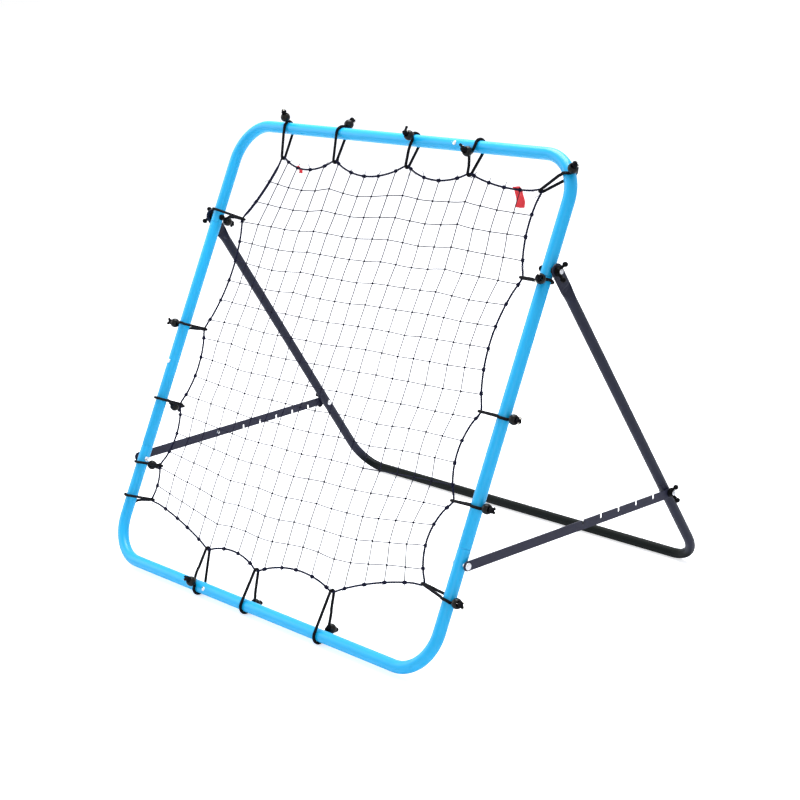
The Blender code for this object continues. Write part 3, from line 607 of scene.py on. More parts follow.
def draw_cords(name, paths, radius, resolution=3, closed=False, sizes=None):
    """One mesh of round cords along paths. Sizes scale each point's radius."""
    curve = bpy.data.curves.new(name, "CURVE")
    curve.dimensions = "3D"
    curve.bevel_depth = radius
    curve.bevel_resolution = resolution
    curve.use_fill_caps = not closed
    for path in paths:
        spline = curve.splines.new("POLY")
        spline.points.add(len(path) - 1)
        for k, (target, point) in enumerate(zip(spline.points, path)):
            target.co = (*point, 1)
            if sizes:
                target.radius = sizes[k]
        spline.use_cyclic_u = closed
    cord = bpy.data.objects.new(name, curve)
    bpy.context.collection.objects.link(cord)
    only(cord)
    bpy.ops.object.convert(target="MESH")
    cord = bpy.context.object
    length = sum(path_length(path) for path in paths) / len(paths)
    for spot in cord.data.uv_layers[0].data:
        spot.uv = (spot.uv.x * math.tau * radius, spot.uv.y * length)
    return cord


def loose_end(start, way, curl, length, steps=(0, 0.25, 0.5, 0.75, 1)):
    """A cut end that sets off one way and curls aside."""
    return [start + way * (length * t) + curl * (length * t * t) for t in steps]


def tie_outward(tie):
    """Direction in the frame's plane from the net out to a tie's rail."""
    if tie.edge == "corner":
        angle = math.radians(tie.place)
        return Vector((math.cos(angle), 0, math.sin(angle)))
    return {"top": UP, "bottom": -UP, "left": -ACROSS, "right": ACROSS}[tie.edge]


def rail_point(tie):
    """Where a tie crosses its rail's axis."""
    if tie.edge == "corner":
        return Vector((HALF_WIDTH - CORNER_R, 0, FRAME_HEIGHT - CORNER_R)) + tie_outward(tie) * CORNER_R
    if tie.edge in ("top", "bottom"):
        return Vector((tie.place, 0, FRAME_HEIGHT if tie.edge == "top" else 0))
    return Vector((HALF_WIDTH if tie.edge == "right" else -HALF_WIDTH, 0, tie.place))


def border_point(tie):
    return Vector((tie.border[0], 0, tie.border[1]))


def rope_span(k):
    """The border rope from one tie up to the next, sagging in towards the net."""
    tie, following = TIES[k], TIES[(k + 1) % len(TIES)]
    start, end = border_point(tie), border_point(following)
    inward = BACK.cross((end - start).normalized())
    leave, arrive = (BACK.cross(tie_outward(each)) * (ROPE_FLAT / 2) for each in (tie, following))
    shares = [n / 16 for n in range(2, 15)]
    sagging = [start.lerp(end, t) + inward * (tie.sag * 4 * t * (1 - t)) for t in shares]
    return [start, start + leave, *sagging, end - arrive]


def rope_between(first, last):
    """The rope from one tie round to another, both included."""
    points = [point for k in range(first, last) for point in rope_span(k)]
    return points + [border_point(TIES[last % len(TIES)])]


def rope_line():
    """The border rope's closed middle line, even steps apart, with its corners eased."""
    points = spaced(rope_between(0, len(TIES)), ROPE_STEP)[:-1]
    count = len(points)
    for _ in range(3):
        points = [(points[k - 1] + points[k] * 2 + points[(k + 1) % count]) / 4 for k in range(count)]
    return points


ROPE_LINE = rope_line()


def make_border_rope():
    """Three strands laid round each other, thicker on the upper left side where the rope's ends are lapped."""
    closed = ROPE_LINE + ROPE_LINE[:1]
    total = path_length(closed)
    line = spaced(closed, total / (round(total / LAY_LENGTH) * LAY_STEPS))[:-1]
    count = len(line)
    sizes = []
    for point in line:
        t = (point - LAP_FROM).dot(LAP_TO - LAP_FROM) / (LAP_TO - LAP_FROM).length_squared
        beside = (point - LAP_FROM.lerp(LAP_TO, t)).length
        sizes.append(LAP_SWELL if beside < 0.03 and 0 < t < 1 else 1.0)
    sizes = [sum(sizes[(k + n) % count] for n in range(-4, 5)) / 9 for k in range(count)]
    strands = []
    for strand in range(3):
        path = []
        for k in range(count):
            beside = (line[(k + 1) % count] - line[k - 1]).normalized().cross(BACK)
            angle = math.tau * (k / LAY_STEPS + strand / 3)
            aside = beside * math.cos(angle) + BACK * math.sin(angle)
            path.append(line[k] + aside * (STRAND_OFFSET * sizes[k]))
        strands.append(path)
    rope = draw_cords("laid_border_rope", strands, STRAND_R, 1, closed=True, sizes=sizes)
    fit(rope, "frame", "border_rope", "border_rope", ROPE)


# Ball ties, each drawn across its rail: X along the rail, Y towards the back, Z outward
def polar(angle, radius):
    return Vector((0, -radius * math.sin(angle), radius * math.cos(angle)))


def rail_wrap(start, end):
    steps = max(2, math.ceil(abs(end - start) / math.radians(12)))
    return [polar(start + (end - start) * k / steps, WRAP_R) for k in range(steps + 1)]


def neck(base, out, along):
    """A strand's bend from the bore of its ball onto its run."""
    return [base + out * (NECK_R * (1 - math.sin(angle))) + along * (NECK_R * (1 - math.cos(angle)))
            for angle in (QUARTER * k / 4 for k in range(5))]


def tie_route(reach, ball):
    """The cord from the ball, round rail and border rope, and back, with the ball's seat and direction."""
    touch = math.pi - math.acos((WRAP_R - LOOP_R) / reach)
    sweep = math.tau - 2 * touch
    rope = [UP * -reach + polar(touch + sweep * k / 10, LOOP_R) for k in range(11)]
    if isinstance(ball, tuple):
        sign = 1 if ball[0] == "back" else -1
        out = BACK * sign
        base = Vector((0, sign * (WRAP_R + (LOOP_R - WRAP_R) * ball[1] / reach), -ball[1]))
        route = neck(base, out, UP) + rail_wrap(-sign * touch, sign * touch)
        route += rope if sign > 0 else rope[::-1]
        return route + neck(base, out, -UP)[::-1], base, out
    angle = math.radians(ball)
    base, out, turn = polar(angle, WRAP_R), polar(angle, 1), polar(angle + QUARTER, 1)
    bend_angle = NECK_R / WRAP_R
    route = neck(base, out, turn)
    if touch > angle + bend_angle:
        route += rail_wrap(angle + bend_angle, touch)
    route += rope + rail_wrap(-touch, angle - bend_angle) + neck(base, out, -turn)[::-1]
    return route, base, out


def knot_paths(seat, out, draw, cut_ends):
    """The overhand knot that stops a ball: a trefoil of cord with two cut ends."""
    middle = seat + out * (BALL_R + 2.1 * KNOT_R)
    deep = out.cross(ACROSS)
    loop = []
    for k in range(40):
        t = math.tau * k / 40
        x = math.sin(t) + 2 * math.sin(2 * t)
        y = math.cos(t) - 2 * math.cos(2 * t)
        loop.append(middle + (ACROSS * x + deep * y - out * (math.sin(3 * t) * 1.3)) * KNOT_R)
    ends = []
    for sign in (-1, 1):
        way = (out + ACROSS * (sign * draw.uniform(0.5, 1.2)) + deep * draw.uniform(-0.6, 0.6)).normalized()
        curl = (ACROSS * draw.uniform(-1, 1) + deep * draw.uniform(-1, 1)) * 0.35
        length = TAIL * draw.uniform(0.7, 1.4)
        if cut_ends:
            way = Vector(cut_ends[sign > 0])
            length = way.length
            way.normalize()
        ends.append(loose_end(middle + ACROSS * (sign * KNOT_R), way, curl, length))
    return loop, ends


def make_ball():
    """A moulded ball with a bore for both strands and a rounded mouth at each end."""
    edge = math.acos((BALL_BORE_R + 0.0008) / BALL_R)
    latitudes = [-edge + 2 * edge * k / 16 for k in range(17)]
    profile = [(BALL_R * math.sin(latitude), BALL_R * math.cos(latitude)) for latitude in latitudes]
    mouth = BALL_R * math.sin(edge)
    profile += [(mouth - 0.0001, BALL_BORE_R + 0.0003), (mouth - 0.0008, BALL_BORE_R)]
    profile += [(0.0008 - mouth, BALL_BORE_R), (0.0001 - mouth, BALL_BORE_R + 0.0003), profile[0]]
    return turned("stop_ball", profile)


def make_tie(number, tie, ball_model):
    """A tie: its cord round rail and border rope, its ball, and the knot beyond with two cut ends."""
    way = tie_outward(tie)
    turn = math.atan2(way.x, way.z)
    origin = rail_point(tie)
    drop = border_point(tie) - origin
    reach = -drop.dot(way)
    slant = drop.dot(Vector((math.cos(turn), 0, -math.sin(turn)))) / reach
    place = FRAME_PLACE @ shifted(*origin) @ turned_by(turn, "Y")
    route, base, out = tie_route(reach, tie.ball)
    seat = base + out * BALL_STAND_OFF
    far = seat + out * (BALL_R + KNOT_R)
    route = spaced([far] + route + [far], CORD_STEP)
    last = len(route) - 1
    points = []
    for k, point in enumerate(route):
        # The strands lie side by side in the ball and change over at the border rope
        spread = 1 - 2 * k / last
        nearest = min(k, last - k)
        if abs((point - base).dot(out)) > 0.001 and nearest < last / 5:
            spread = math.copysign(1, spread)
        pull = 1 - eased((nearest * CORD_STEP - (far - base).length) / BALL_PULL)
        points.append(point + ACROSS * (spread * STRAND_SPREAD + slant * max(-point.z, 0) + tie.shift * pull))
    points[1:-1] = [(a + b * 2 + c) / 4 for a, b, c in zip(points, points[1:], points[2:])]
    cord = draw_cords("elastic_loop_%02d" % number, [points], CORD_R)
    fit(cord, "frame", "tie_cord_%02d" % number, "elastic_cord", ELASTIC, place)

    seat = seat + ACROSS * (slant * max(-seat.z, 0) + tie.shift)
    fit_copy(ball_model, "stop_ball_%02d" % number, "frame", "tie_ball_%02d" % number, "ball_plastic", BALL,
             place @ shifted(*seat) @ turned_by(math.atan2(-out.y, out.z), "X"))

    loop, ends = knot_paths(seat, out, random.Random(number), CUT_ENDS.get(number))
    name = "stop_knot_%02d" % number
    knot = join([draw_cords(name, [loop], CORD_R, 2, closed=True),
                 draw_cords(name + "_ends", ends, CORD_R * 0.95, 2)], name)
    fit(knot, "frame", "", "elastic_cord", ELASTIC, place)
    # Rubber cores stand just out of the cut ends: real cores whose near white colour also paints in white glints
    cores = []
    for end in ends:
        way = (end[-1] - end[-2]).normalized()
        cores.append([end[-1] + way * step for step in (-0.0010, 0.0008, 0.0012)])
    core = draw_cords("glint_core_%02d" % number, cores, CORD_R * 0.62, 2, sizes=[1, 1, 0.6])
    fit(core, "frame", "", "elastic_cord", RUBBER_GLINT, place)


# Net
def rope_offset(side, axis, value, mean):
    """How far a side of the rope strays from its mean, in Z along X (axis 0) or in X along Z (axis 2)."""
    inside = sorted(side, key=lambda point: point[axis])
    value = min(max(value, inside[0][axis]), inside[-1][axis])
    a, b = next((a, b) for a, b in zip(inside, inside[1:]) if value <= b[axis])
    return a.lerp(b, (value - a[axis]) / max(b[axis] - a[axis], 1e-6))[2 - axis] - mean


def sheet_place(i, j, sides):
    """Where a knot lies: on the sheet's even shape, drawn along by the scallops of the rope near it."""
    x, y = i * 2 / CELLS - 1, j * 2 / CELLS - 1
    even = {axis: sum(value * x ** m * y ** n for (m, n), value in shape.items())
            for axis, shape in ((0, SHEET_ACROSS), (2, SHEET_UP))}
    place = Vector((even[0], 0, even[2]))
    cells_away = (CELLS - j, CELLS - i, j, i)
    for side, axis, cells, (strength, mean) in zip(sides, (0, 2, 0, 2), cells_away, ROPE_PULLS):
        fade = math.exp(-cells / ROPE_PULL_FADE)
        place[2 - axis] += strength * rope_offset(side, axis, even[axis], mean) * fade
    return place


def meets_rope(knot, before):
    """Where a line of twine, carried on from its last knot, meets the border rope."""
    way = (knot - before).normalized()
    beside = BACK.cross(way)
    meetings = []
    for a, b in zip(ROPE_LINE, ROPE_LINE[1:] + ROPE_LINE[:1]):
        from_a, from_b = (a - knot).dot(beside), (b - knot).dot(beside)
        if from_a * from_b <= 0 and from_a != from_b:
            point = a.lerp(b, from_a / (from_a - from_b))
            if (point - knot).dot(way) > 0:
                meetings.append(point)
    return min(meetings, key=lambda point: (point - knot).length)


def twine_ends():
    """Each end of a line of twine in the grid, edge by edge, with the last two knots before it."""
    ends = []
    for upright in (True, False):
        for edge, step in ((0, 1), (CELLS, -1)):
            for k in INNER:
                rows = (edge, edge + step, edge + 2 * step)
                ends.append([(k, row) if upright else (row, k) for row in rows])
    return ends


def net_grid():
    """Every knot's place, and where each line of twine meets the border rope."""
    sides = [rope_between(first, last) for first, last in zip(CORNER_TIES, CORNER_TIES[1:])]
    places = {}
    for i in INNER:
        for j in INNER:
            place = sheet_place(i, j, sides)
            stray = noise.noise_vector(place * 9 + Vector((3.1, 0, 1.7)))
            fine = noise.noise_vector(place * 41)
            stray.y *= 0.8
            fine.y = 0
            places[i, j] = place + (stray * SLACK + fine * FINE_SLACK)
    for end, last, before in twine_ends():
        places[end] = meets_rope(places[last], places[before])
    return places


def slack_line(knots):
    """A line of twine through its knots, each stretch a little slack."""
    points = []
    for a, b in zip(knots, knots[1:]):
        lean = noise.noise_vector((a + b) * 23)
        points += [a.lerp(b, t) + lean * (TWINE_BOW * 4 * t * (1 - t)) for t in (0, 0.25, 0.5, 0.75)]
    return points + [knots[-1]]


def make_small_knots(name, places, major, minor, sides):
    """Copies of one small ring of twine, one at each place with its turn, joined into a mesh."""
    bpy.ops.mesh.primitive_torus_add(major_segments=sides, minor_segments=5, major_radius=major,
                                     minor_radius=minor)
    model = bpy.context.object
    shape = bmesh.new()
    for place in places:
        ring = model.data.copy()
        ring.transform(place)
        shape.from_mesh(ring)
        bpy.data.meshes.remove(ring)
    shape.to_mesh(model.data)
    shape.free()
    model.name = model.data.name = name
    return model


def make_net(grid):
    """Lines of twine up and across, with two crossed turns at each knot."""
    lines = [slack_line([grid[i, j] for j in range(CELLS + 1)]) for i in INNER]
    lines += [slack_line([grid[i, j] for i in range(CELLS + 1)]) for j in INNER]
    twine = draw_cords("net_lines", lines, TWINE_R, 1)
    turns = [turned_by(side * math.radians(45), "Y") @ turned_by(side * math.radians(24), "X") for side in (-1, 1)]
    crossings = [shifted(*grid[i, j]) @ turn for i in INNER for j in INNER for turn in turns]
    knots = make_small_knots("net_knots", crossings, NET_KNOT_R * 0.60, NET_KNOT_R * 0.42, 8)
    fit(twine, "frame", "net", "net_twine", TWINE)
    fit(knots, "frame", "", "net_twine", SHADED_KNOT_TWINE)


def make_lashings(grid):
    """Where the mesh meets the border rope: a few turns of twine round the rope, with cut ends."""
    draw = random.Random(7)
    places, ends = [], []
    for end, last, _ in twine_ends():
        edge, inner = grid[end], grid[last]
        k = min(range(len(ROPE_LINE)), key=lambda n: (ROPE_LINE[n] - edge).length_squared)
        along = (ROPE_LINE[(k + 1) % len(ROPE_LINE)] - ROPE_LINE[k - 1]).normalized()
        for n in range(draw.randint(3, 4)):
            spot = ROPE_LINE[k] + along * (0.0020 * n - 0.003)
            tilt = turned_by(draw.uniform(-0.3, 0.3), "X")
            places.append(shifted(*spot) @ UP.rotation_difference(along).to_matrix().to_4x4() @ tilt)
        if draw.random() < 0.85:
            way = (edge - inner).normalized() + along * draw.uniform(-1, 1) + BACK * draw.uniform(-1, 0.3)
            way.normalize()
            length = draw.uniform(0.006, 0.013)
            curl = along * draw.uniform(-0.4, 0.4)
            ends.append(loose_end(ROPE_LINE[k] + way * ROPE_R, way, curl, length, (0, 0.33, 0.66, 1)))
    turns = make_small_knots("lashing_turns", places, ROPE_R + 0.0010, 0.0012, 10)
    tails = draw_cords("lashing_ends", ends, 0.0008, 1)
    fit(turns, "frame", "", "border_rope", ROPE)
    fit(tails, "frame", "", "border_rope", ROPE)


def make_frayed_ends():
    """Pale wisps of unlaid fibre on the rope beside some of the ties."""
    wisps = []
    for index, offset, count, length in FRAYS:
        draw = random.Random(20 + index)
        inward = -tie_outward(TIES[index])
        along = BACK.cross(-inward)
        root = border_point(TIES[index]) + along * offset + inward * 0.006
        for _ in range(count):
            way = (inward + along * draw.uniform(-0.9, 0.9) + BACK * draw.uniform(-0.9, 0.3)).normalized()
            curl = along * draw.uniform(-0.7, 0.7) + inward * draw.uniform(-0.5, 0.5)
            reach = length * draw.uniform(0.5, 1.1)
            wisps.append(loose_end(root + along * draw.uniform(-0.005, 0.005), way, curl, reach))
    fit(draw_cords("frayed_ends", wisps, 0.00048, 1), "frame", "", "border_rope", FRAY)


# Stand
def make_stand_bow():
    """The U of thinner tube that lies on the floor, its sleeves inside the legs."""
    top = -LEG_SEAM - GAP
    end = [(top + SLEEVE_LENGTH, SLEEVE_R), (top, SLEEVE_R), (top, LEG_R - LIP), (top - LIP, LEG_R)]
    bow = bent_tube("ground_bow", end, LEG_X, STAND_CORNER_R, -LEG_LENGTH, LEG_SIDES, 24)
    crease_bends(bow)
    for _, sign in SIDES:
        drill(bow, (sign * LEG_X, 0, -LOCK_PLACE))
    fit(bow, "stand", "stand_bow", "black_powder_coat", BLACK, STAND_PLACE)


def crease_bends(bow):
    """Thin tube wrinkles on the inside of its bends."""
    bend_x, bend_z = LEG_X - STAND_CORNER_R, STAND_CORNER_R - LEG_LENGTH
    for corner in bow.data.vertices:
        arm = Vector((abs(corner.co.x) - bend_x, 0, corner.co.z - bend_z))
        inner = (STAND_CORNER_R - LEG_R * 0.2 - arm.length) / (LEG_R * 0.8)
        if arm.x > 0 and arm.z < 0 and inner > 0:
            angle = math.atan2(-arm.z, arm.x)
            wave = math.sin(angle * 12) * math.sin(angle * 2)
            shift = arm.normalized() * (BEND_WRINKLE * min(1, inner) * wave)
            corner.co.x += math.copysign(shift.x, corner.co.x)
            corner.co.z += shift.z


def make_leg():
    """A leg of tube, pressed flat at the hinge and cut to a round end."""
    heights = [FLAT_HALF_WIDTH * math.sin(math.radians(80 - 8 * k)) for k in range(10)]
    heights += [-0.0015 * k for k in range(1, 62)]
    profile = [(z, LEG_R) for z in heights] + [(LIP - LEG_SEAM, LEG_R), (-LEG_SEAM, LEG_R - LIP)]
    profile += [(-LEG_SEAM, SLEEVE_R + GAP), (SLEEVE_LENGTH + 0.002 - LEG_SEAM, SLEEVE_R + GAP)]
    leg = turned("rear_leg", profile, LEG_SIDES)
    press_flat(leg)
    drill(leg, (0, 0, 0))
    return leg


def press_flat(leg):
    """Squeezes a leg's top end in X, which widens it in Y, with a crease where it swells back to round."""
    for corner in leg.data.vertices:
        z = corner.co.z
        if z < -ROUND_START:
            continue
        t = min(1, max(0, (z + ROUND_START) / (ROUND_START - FLAT_END)))
        thick = LEG_R + (FLAT_HALF_THICKNESS - LEG_R) * eased(t)
        wide = LEG_R + (FLAT_HALF_WIDTH - LEG_R) * eased(t)
        if z > 0:
            wide = max(0.0016, math.sqrt(FLAT_HALF_WIDTH ** 2 - z ** 2))
        across = corner.co.x / LEG_R
        deep = corner.co.y / LEG_R
        crease = FLAT_CREASE * math.sin(math.pi * t) * math.exp(-(deep / 0.35) ** 2)
        corner.co.x = across * thick - math.copysign(crease, across) * abs(across)
        corner.co.y = deep * thick + math.copysign(wide - thick, deep) if abs(deep) > 0.01 else deep * wide


# Turned hardware
def make_hinge_bolt():
    """High domed head inside the rail, shank out through rail, spacer and leg into the nut."""
    return turned("mushroom_bolt", dome_below(RAIL_FACE + 0.0016, 0.0095, 0.0080)
                  + [(-RAIL_FACE - 0.0006, 0.0080), (-RAIL_FACE, 0.0076), (-RAIL_FACE, BOLT_R), (0.0394, BOLT_R),
                     (0.0400, BOLT_R - 0.0006)])


def make_hinge_spacer():
    """The collar between rail and leg."""
    start, end = RAIL_FACE, LEG_X - HALF_WIDTH - FLAT_HALF_THICKNESS - GAP
    return turned("pivot_spacer", [(start, SPACER_R - SPACER_EDGE), (start + SPACER_EDGE, SPACER_R),
                                   (end - SPACER_EDGE, SPACER_R), (end, SPACER_R - SPACER_EDGE), (end, HOLE_R),
                                   (start, HOLE_R), (start, SPACER_R - SPACER_EDGE)])


def make_bar_rivet():
    """The shouldered rivet that a brace bar turns on, domed outside the bar and inside the rail."""
    shoulder, outer = BAR_OFFSET - 0.0005, BAR_OFFSET + BAR_THICKNESS + 0.0005
    return turned("pivot_rivet", dome_below(RAIL_FACE, 0.0032, 0.0068)
                  + [(-RAIL_FACE, BOLT_R), (RAIL_FACE, BOLT_R), (RAIL_FACE, 0.0070), (shoulder, 0.0070),
                     (shoulder, BOLT_R), (outer, BOLT_R), (outer, 0.0082), (outer + 0.0004, 0.0085)]
                  + dome(outer + 0.0008, 0.0032, 0.0085))


def make_lock_bolt():
    """Carriage bolt with its domed head on the leg's inner side."""
    under = LEG_R + GAP
    return turned("carriage_bolt", dome_below(under + 0.0003, 0.0033, 0.0070)
                  + [(-under, 0.0068), (-under, BOLT_R), (0.0292, BOLT_R), (0.0300, BOLT_R - 0.0007)])


def make_nut_insert():
    """The zinc disc set in a wing nut, with the bolt's end standing out of it."""
    return turned("nut_insert", [(0.0100, BOLT_R + 0.0001), (0.0100, 0.0060), (0.0114, 0.0060), (0.0118, 0.0056),
                                 (0.0119, 0.0034), (0.0116, 0.0032), (0.0116, BOLT_R), (0.0136, BOLT_R),
                                 (0.0142, BOLT_R - 0.0007)])


def make_bar_stud():
    """A domed rivet head on a bar's inner face."""
    return turned("bar_dome", [(0, 0.0030), (0.0001, 0.0046)] + dome(0.0004, 0.0016, 0.0046))


def make_rail_plug():
    """A domed plug for the front of a rail."""
    under = RAIL_R - 0.0002
    profile = [(RAIL_R - 0.007, BOLT_R), (under, BOLT_R), (under, 0.0052), (under + 0.0005, 0.0055)]
    return turned("rail_plug", profile + dome(under + 0.0007, 0.0018, 0.0055))


def make_wing_nut():
    """A moulded nut: a round hub with two wings on necks that rise and end in thumb bulbs, melted together."""
    parts = [turned("wing_nut", [(0, 0.0111), (0.0005, 0.0116), (0.0022, 0.0116), (0.0032, 0.0100),
                                 (0.0098, 0.0078), (0.0106, 0.0068)], 40)]
    for sign in (-1, 1):
        wing = start_block((sign * 0.0045, 0, 0.0060), WING_SPROUT)
        bpy.ops.object.mode_set(mode="EDIT")
        bpy.ops.mesh.select_all(action="DESELECT")
        shape = bmesh.from_edit_mesh(wing.data)
        next(face for face in shape.faces if face.normal.x * sign > 0.9).select_set(True)
        bmesh.update_edit_mesh(wing.data)
        middle = Vector((sign * 0.006, 0, 0.0060))
        for run, rise, narrowing in WING_STEPS:
            middle = push(middle, (sign * run, 0, rise), narrowing)
        bpy.ops.object.mode_set(mode="OBJECT")
        apply_modifier(wing, "SUBSURF", levels=2, render_levels=2)
        bpy.ops.mesh.primitive_uv_sphere_add(segments=24, ring_count=16, radius=1, location=middle,
                                             scale=THUMB_BULB)
        bpy.ops.object.transform_apply()
        parts += [wing, bpy.context.object]
    nut = join(parts, "wing_nut")
    apply_modifier(nut, "REMESH", mode="VOXEL", voxel_size=0.00045)
    apply_modifier(nut, "SMOOTH", factor=0.5, iterations=4)
    combine(nut, start_rod((0, 0, 0), BOLT_R + 0.0002, 0.04, facing=(0, 0, 0)), "DIFFERENCE")
    return nut


# Brace bars, each drawn along Y from its hinge, with Z up
BAR_RUN = joint_place("lock_nut_turn_right") - joint_place("brace_swing_right")
BAR_RUN.x = 0


def bar_place(side, sign):
    """Where a bar goes. The left one is the right one turned over."""
    angle = math.atan2(BAR_RUN.z, BAR_RUN.y) - sign * math.asin(BOLT_SEAT / BAR_RUN.length)
    splay = math.atan((BAR_LOCK_OFFSET - BAR_OFFSET) / BAR_RUN.length)
    place = (shifted(*joint_place("brace_swing_" + side)) @ turned_by(angle, "X")
             @ shifted(sign * BAR_OFFSET, 0, 0) @ turned_by(-sign * splay, "Z"))
    return place if sign > 0 else place @ turned_by(math.pi, "Y")


def make_bar():
    """A flat bar with a round end and slots for the lock bolt open at its upper edge."""
    reach = math.hypot(BAR_RUN.length, BAR_LOCK_OFFSET - BAR_OFFSET)
    length, half_thickness = reach + BAR_BEYOND, BAR_THICKNESS / 2
    bar = start_block((half_thickness, length / 2, 0), (BAR_THICKNESS, length, 2 * BAR_HALF_WIDTH))
    bar.name = bar.data.name = "notched_bar"
    bpy.ops.object.mode_set(mode="EDIT")
    shape = bmesh.from_edit_mesh(bar.data)
    bpy.ops.mesh.select_mode(type="EDGE")
    for edge in shape.edges:
        a, b = (corner.co for corner in edge.verts)
        edge.select_set(abs(a.x - b.x) > half_thickness and a.y + b.y > length)
    bmesh.update_edit_mesh(bar.data)
    bpy.ops.mesh.bevel(offset=BAR_END_R, segments=4)
    bpy.ops.object.mode_set(mode="OBJECT")

    # The hinge end is round: a disc joined to the bar's square start
    combine(bar, start_rod((half_thickness, 0, 0), BAR_HALF_WIDTH, BAR_THICKNESS, 48), "UNION")
    cutters = []
    for n in range(NOTCH_COUNT):
        middle = reach - n * NOTCH_PITCH
        seat = start_rod((half_thickness, middle, BOLT_SEAT), NOTCH_R, 4 * BAR_THICKNESS, 28)
        bpy.ops.mesh.primitive_cube_add(size=1, location=(half_thickness, middle, BOLT_SEAT + NOTCH_MOUTH / 2),
                                        scale=(4 * BAR_THICKNESS, 2 * NOTCH_R, NOTCH_MOUTH))
        combine(seat, bpy.context.object, "UNION")
        cutters.append(seat)
    combine(bar, join(cutters, "slot_cutter"), "DIFFERENCE")
    combine(bar, start_rod((0, 0, 0), HOLE_R, 0.03), "DIFFERENCE")
    apply_modifier(bar, "BEVEL", width=BAR_EDGE_R, segments=2, limit_method="ANGLE",
                   angle_limit=math.radians(40))
    bpy.ops.object.shade_smooth()
    apply_modifier(bar, "WEIGHTED_NORMAL", weight=100)
    return bar


# Red ribbon tags on the border rope
def make_ribbon(name, top, width, length, curl, twist, seed):
    """A ribbon over the rope that hangs plumb, so behind the leaning net. Its UV map is in metres."""
    bpy.ops.mesh.primitive_grid_add(x_subdivisions=16, y_subdivisions=36, size=1)
    ribbon = bpy.context.object
    ribbon.name = ribbon.data.name = name
    for spot in ribbon.data.uv_layers[0].data:
        spot.uv = (spot.uv.x * width, spot.uv.y * length)
    for corner in ribbon.data.vertices:
        s, t = corner.co.x, 0.5 - corner.co.y
        ripple = noise.noise(Vector((s * 1.7, t * 2.3, seed))) * curl
        turn = twist * t
        x = s * width * math.cos(turn) + 0.03 * length * t
        fall = t * length - 0.0055 - 0.0025 * s
        y = s * width * math.sin(turn) + fall * math.sin(LEAN) + ROPE_R + 0.0022
        y += curl * math.sin(t * 2.6) + ripple
        # The first few millimetres come forward over the rope
        y -= (ROPE_R + 0.005) * math.exp(-(t * length / 0.004) ** 2)
        corner.co = (top.x + x, y, top.z - fall * math.cos(LEAN))
    apply_modifier(ribbon, "SOLIDIFY", thickness=0.0005, offset=0)
    return fit(ribbon, "frame", "", "border_rope", RED)


make_rail_bow("top_rail_bow", "top_bow", UPPER_SEAM, FRAME_HEIGHT)
make_rail_bow("bottom_rail_bow", "bottom_bow", LOWER_SEAM, 0.0)
plug_model = make_rail_plug()
for edge_name, plug_x, plug_z in PLUGS:
    fit_copy(plug_model, "rail_plug_" + edge_name, "frame", "rail_stud_" + edge_name, "zinc_plate", ZINC,
             FRAME_PLACE @ shifted(plug_x, 0, plug_z) @ turned_by(QUARTER, "X"))
make_border_rope()
mesh_grid = net_grid()
make_net(mesh_grid)
make_lashings(mesh_grid)
make_frayed_ends()
stop_ball_model = make_ball()
for tie_number, tie_facts in enumerate(TIES, 1):
    make_tie(tie_number, tie_facts, stop_ball_model)
make_stand_bow()
tube_model, leg_model, bar_model, stud_model = make_side_tube(), make_leg(), make_bar(), make_bar_stud()
bolt_model, spacer_model, rivet_model = make_hinge_bolt(), make_hinge_spacer(), make_bar_rivet()
lock_model, nut_model, insert_model = make_lock_bolt(), make_wing_nut(), make_nut_insert()
for word, way_out in SIDES:
    hinge_axis = FRAME_PLACE @ outward(way_out * HALF_WIDTH, UPPER_PIVOT, way_out)
    rivet_axis = FRAME_PLACE @ outward(way_out * HALF_WIDTH, LOWER_PIVOT, way_out)
    lock_axis = STAND_PLACE @ outward(way_out * LEG_X, -LOCK_PLACE, way_out)
    bar_seat = bar_place(word, way_out)
    stud_seat = bar_seat @ shifted(0, BAR_STUD_PLACE, 0) @ turned_by(-QUARTER, "Y")
    for model, name, body, node, slot, material, seat in (
            (tube_model, "side_rail_", "frame", "side_tube_", "blue_powder_coat", BLUE,
             FRAME_PLACE @ shifted(way_out * HALF_WIDTH, 0, 0)),
            (leg_model, "rear_leg_", "stand", "stand_leg_", "black_powder_coat", BLACK,
             STAND_PLACE @ shifted(way_out * LEG_X, 0, 0)),
            (bolt_model, "mushroom_bolt_", "frame", "hinge_bolt_", "black_plastic", NYLON, hinge_axis),
            (spacer_model, "pivot_spacer_", "frame", "hinge_spacer_", "black_plastic", NYLON, hinge_axis),
            (rivet_model, "pivot_rivet_", "frame", "bar_rivet_", "zinc_plate", ZINC, rivet_axis),
            (lock_model, "carriage_bolt_", "stand", "lock_bolt_", "zinc_plate", ZINC, lock_axis),
            (bar_model, "notched_bar_", "brace_" + word, "brace_bar_", "black_powder_coat", LIT_BAR_BLACK,
             bar_seat),
            (stud_model, "bar_dome_", "brace_" + word, "", "zinc_plate", ZINC, stud_seat)):
        fit_copy(model, name + word, body, node and node + word, slot, material, seat)
    for nut, height, turn in zip(("hinge", "lock"), (0, -LOCK_PLACE), NUT_TURNS[word]):
        body = nut + "_nut_" + word
        seat = (STAND_PLACE @ outward(joint_place(nut + "_nut_turn_" + word).x, height, way_out)
                @ turned_by(math.radians(turn), "Z"))
        fit_copy(nut_model, nut + "_side_wing_nut_" + word, body, nut + "_wing_nut_" + word, "black_plastic",
                 NYLON, seat)
        fit_copy(insert_model, nut + "_side_nut_insert_" + word, body, "", "zinc_plate", ZINC, seat)
for model in (plug_model, stop_ball_model, tube_model, leg_model, bar_model, stud_model, bolt_model, spacer_model,
              rivet_model, lock_model, nut_model, insert_model):
    bpy.data.objects.remove(model, do_unlink=True)
TAG_SIZE = (0.024, 0.046)
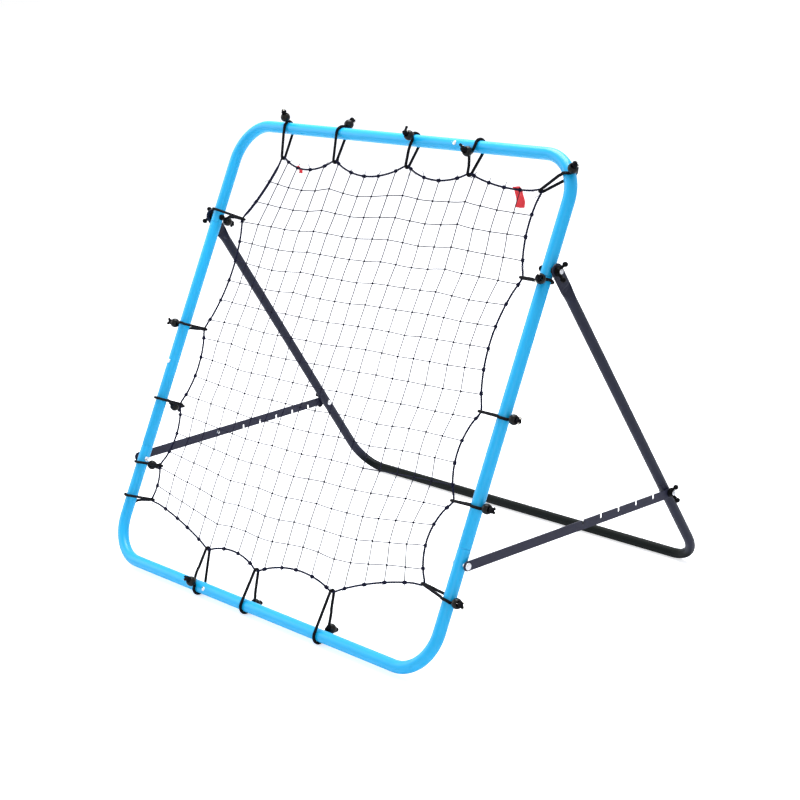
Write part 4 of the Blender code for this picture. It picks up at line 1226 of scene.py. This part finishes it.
tag = make_ribbon("red_tag", Vector((0.442, 0, 1.110)), *TAG_SIZE, 0.004, 0.25, 1.0)
SCRAP_SIZE = (0.010, 0.016)
scrap = make_ribbon("red_scrap", Vector((-0.337, 0, 1.097)), *SCRAP_SIZE, 0.003, 1.1, 5.0)


# Studio
def make_floor():
    """A pale floor that reads white to the camera and keeps a soft part of the object's shadow."""
    bpy.ops.mesh.primitive_plane_add(size=40, location=(0, 0, -0.0020))
    floor = bpy.context.object
    floor.name = "studio_floor"
    sweep = new_material("white_sweep", {"Roughness": 0.9, "Base Color": linear("F2F3F6"),
                                         "Emission Color": linear("FFFFFF")})
    seen = add_node(sweep, "LightPath", output="Is Camera Ray")
    glow = add_node(sweep, "Math", {0: seen, 1: FLOOR_GLOW}, operation="MULTIPLY")
    set_inputs(shader_of(sweep), {"Emission Strength": glow})
    floor.data.materials.append(sweep)


def make_world():
    world = bpy.data.worlds.new("studio")
    bpy.context.scene.world = world
    world.use_nodes = True
    world.node_tree.nodes.clear()
    rays = add_node(world, "LightPath").node.outputs
    seen = add_node(world, "Math", {0: rays["Is Camera Ray"], 1: rays["Is Glossy Ray"]}, operation="MAXIMUM")
    through = add_node(world, "Math", {0: seen, 1: rays["Is Transmission Ray"]}, operation="MAXIMUM")
    soft = add_node(world, "Background", {"Color": linear("F4F7FF"), "Strength": WORLD_STRENGTH})
    white = add_node(world, "Background", {"Color": linear("FFFFFF"), "Strength": 1.0})
    add_node(world, "OutputWorld", {0: add_node(world, "MixShader", {0: through, 1: soft, 2: white})})


def make_lamp(name, place, size, power):
    data = bpy.data.lights.new(name, "AREA")
    data.shape = "DISK"
    data.size = size
    data.energy = power
    lamp = bpy.data.objects.new(name, data)
    bpy.context.collection.objects.link(lamp)
    lamp.location = place
    lamp.rotation_euler = (LAMP_TARGET - Vector(place)).to_track_quat("-Z", "Y").to_euler()


def make_camera():
    data = bpy.data.cameras.new("camera")
    data.sensor_width = SENSOR
    data.lens = CAMERA_LENS
    data.clip_end = 100
    camera = bpy.data.objects.new("camera", data)
    bpy.context.collection.objects.link(camera)
    away = Vector((math.sin(CAMERA_AZIMUTH) * math.cos(CAMERA_ELEVATION),
                   -math.cos(CAMERA_AZIMUTH) * math.cos(CAMERA_ELEVATION), math.sin(CAMERA_ELEVATION)))
    level = Vector((math.cos(CAMERA_AZIMUTH), math.sin(CAMERA_AZIMUTH), 0))
    right = level * math.cos(CAMERA_ROLL) + away.cross(level) * math.sin(CAMERA_ROLL)
    turn = Matrix((right, away.cross(right), away)).transposed().to_4x4()
    camera.matrix_world = Matrix.Translation(CAMERA_PLACE) @ turn
    bpy.context.scene.camera = camera


make_floor()
make_world()
for lamp_facts in LAMPS:
    make_lamp(*lamp_facts)
make_camera()
bpy.context.scene.view_settings.view_transform = "Standard"

bpy.context.view_layer.update()
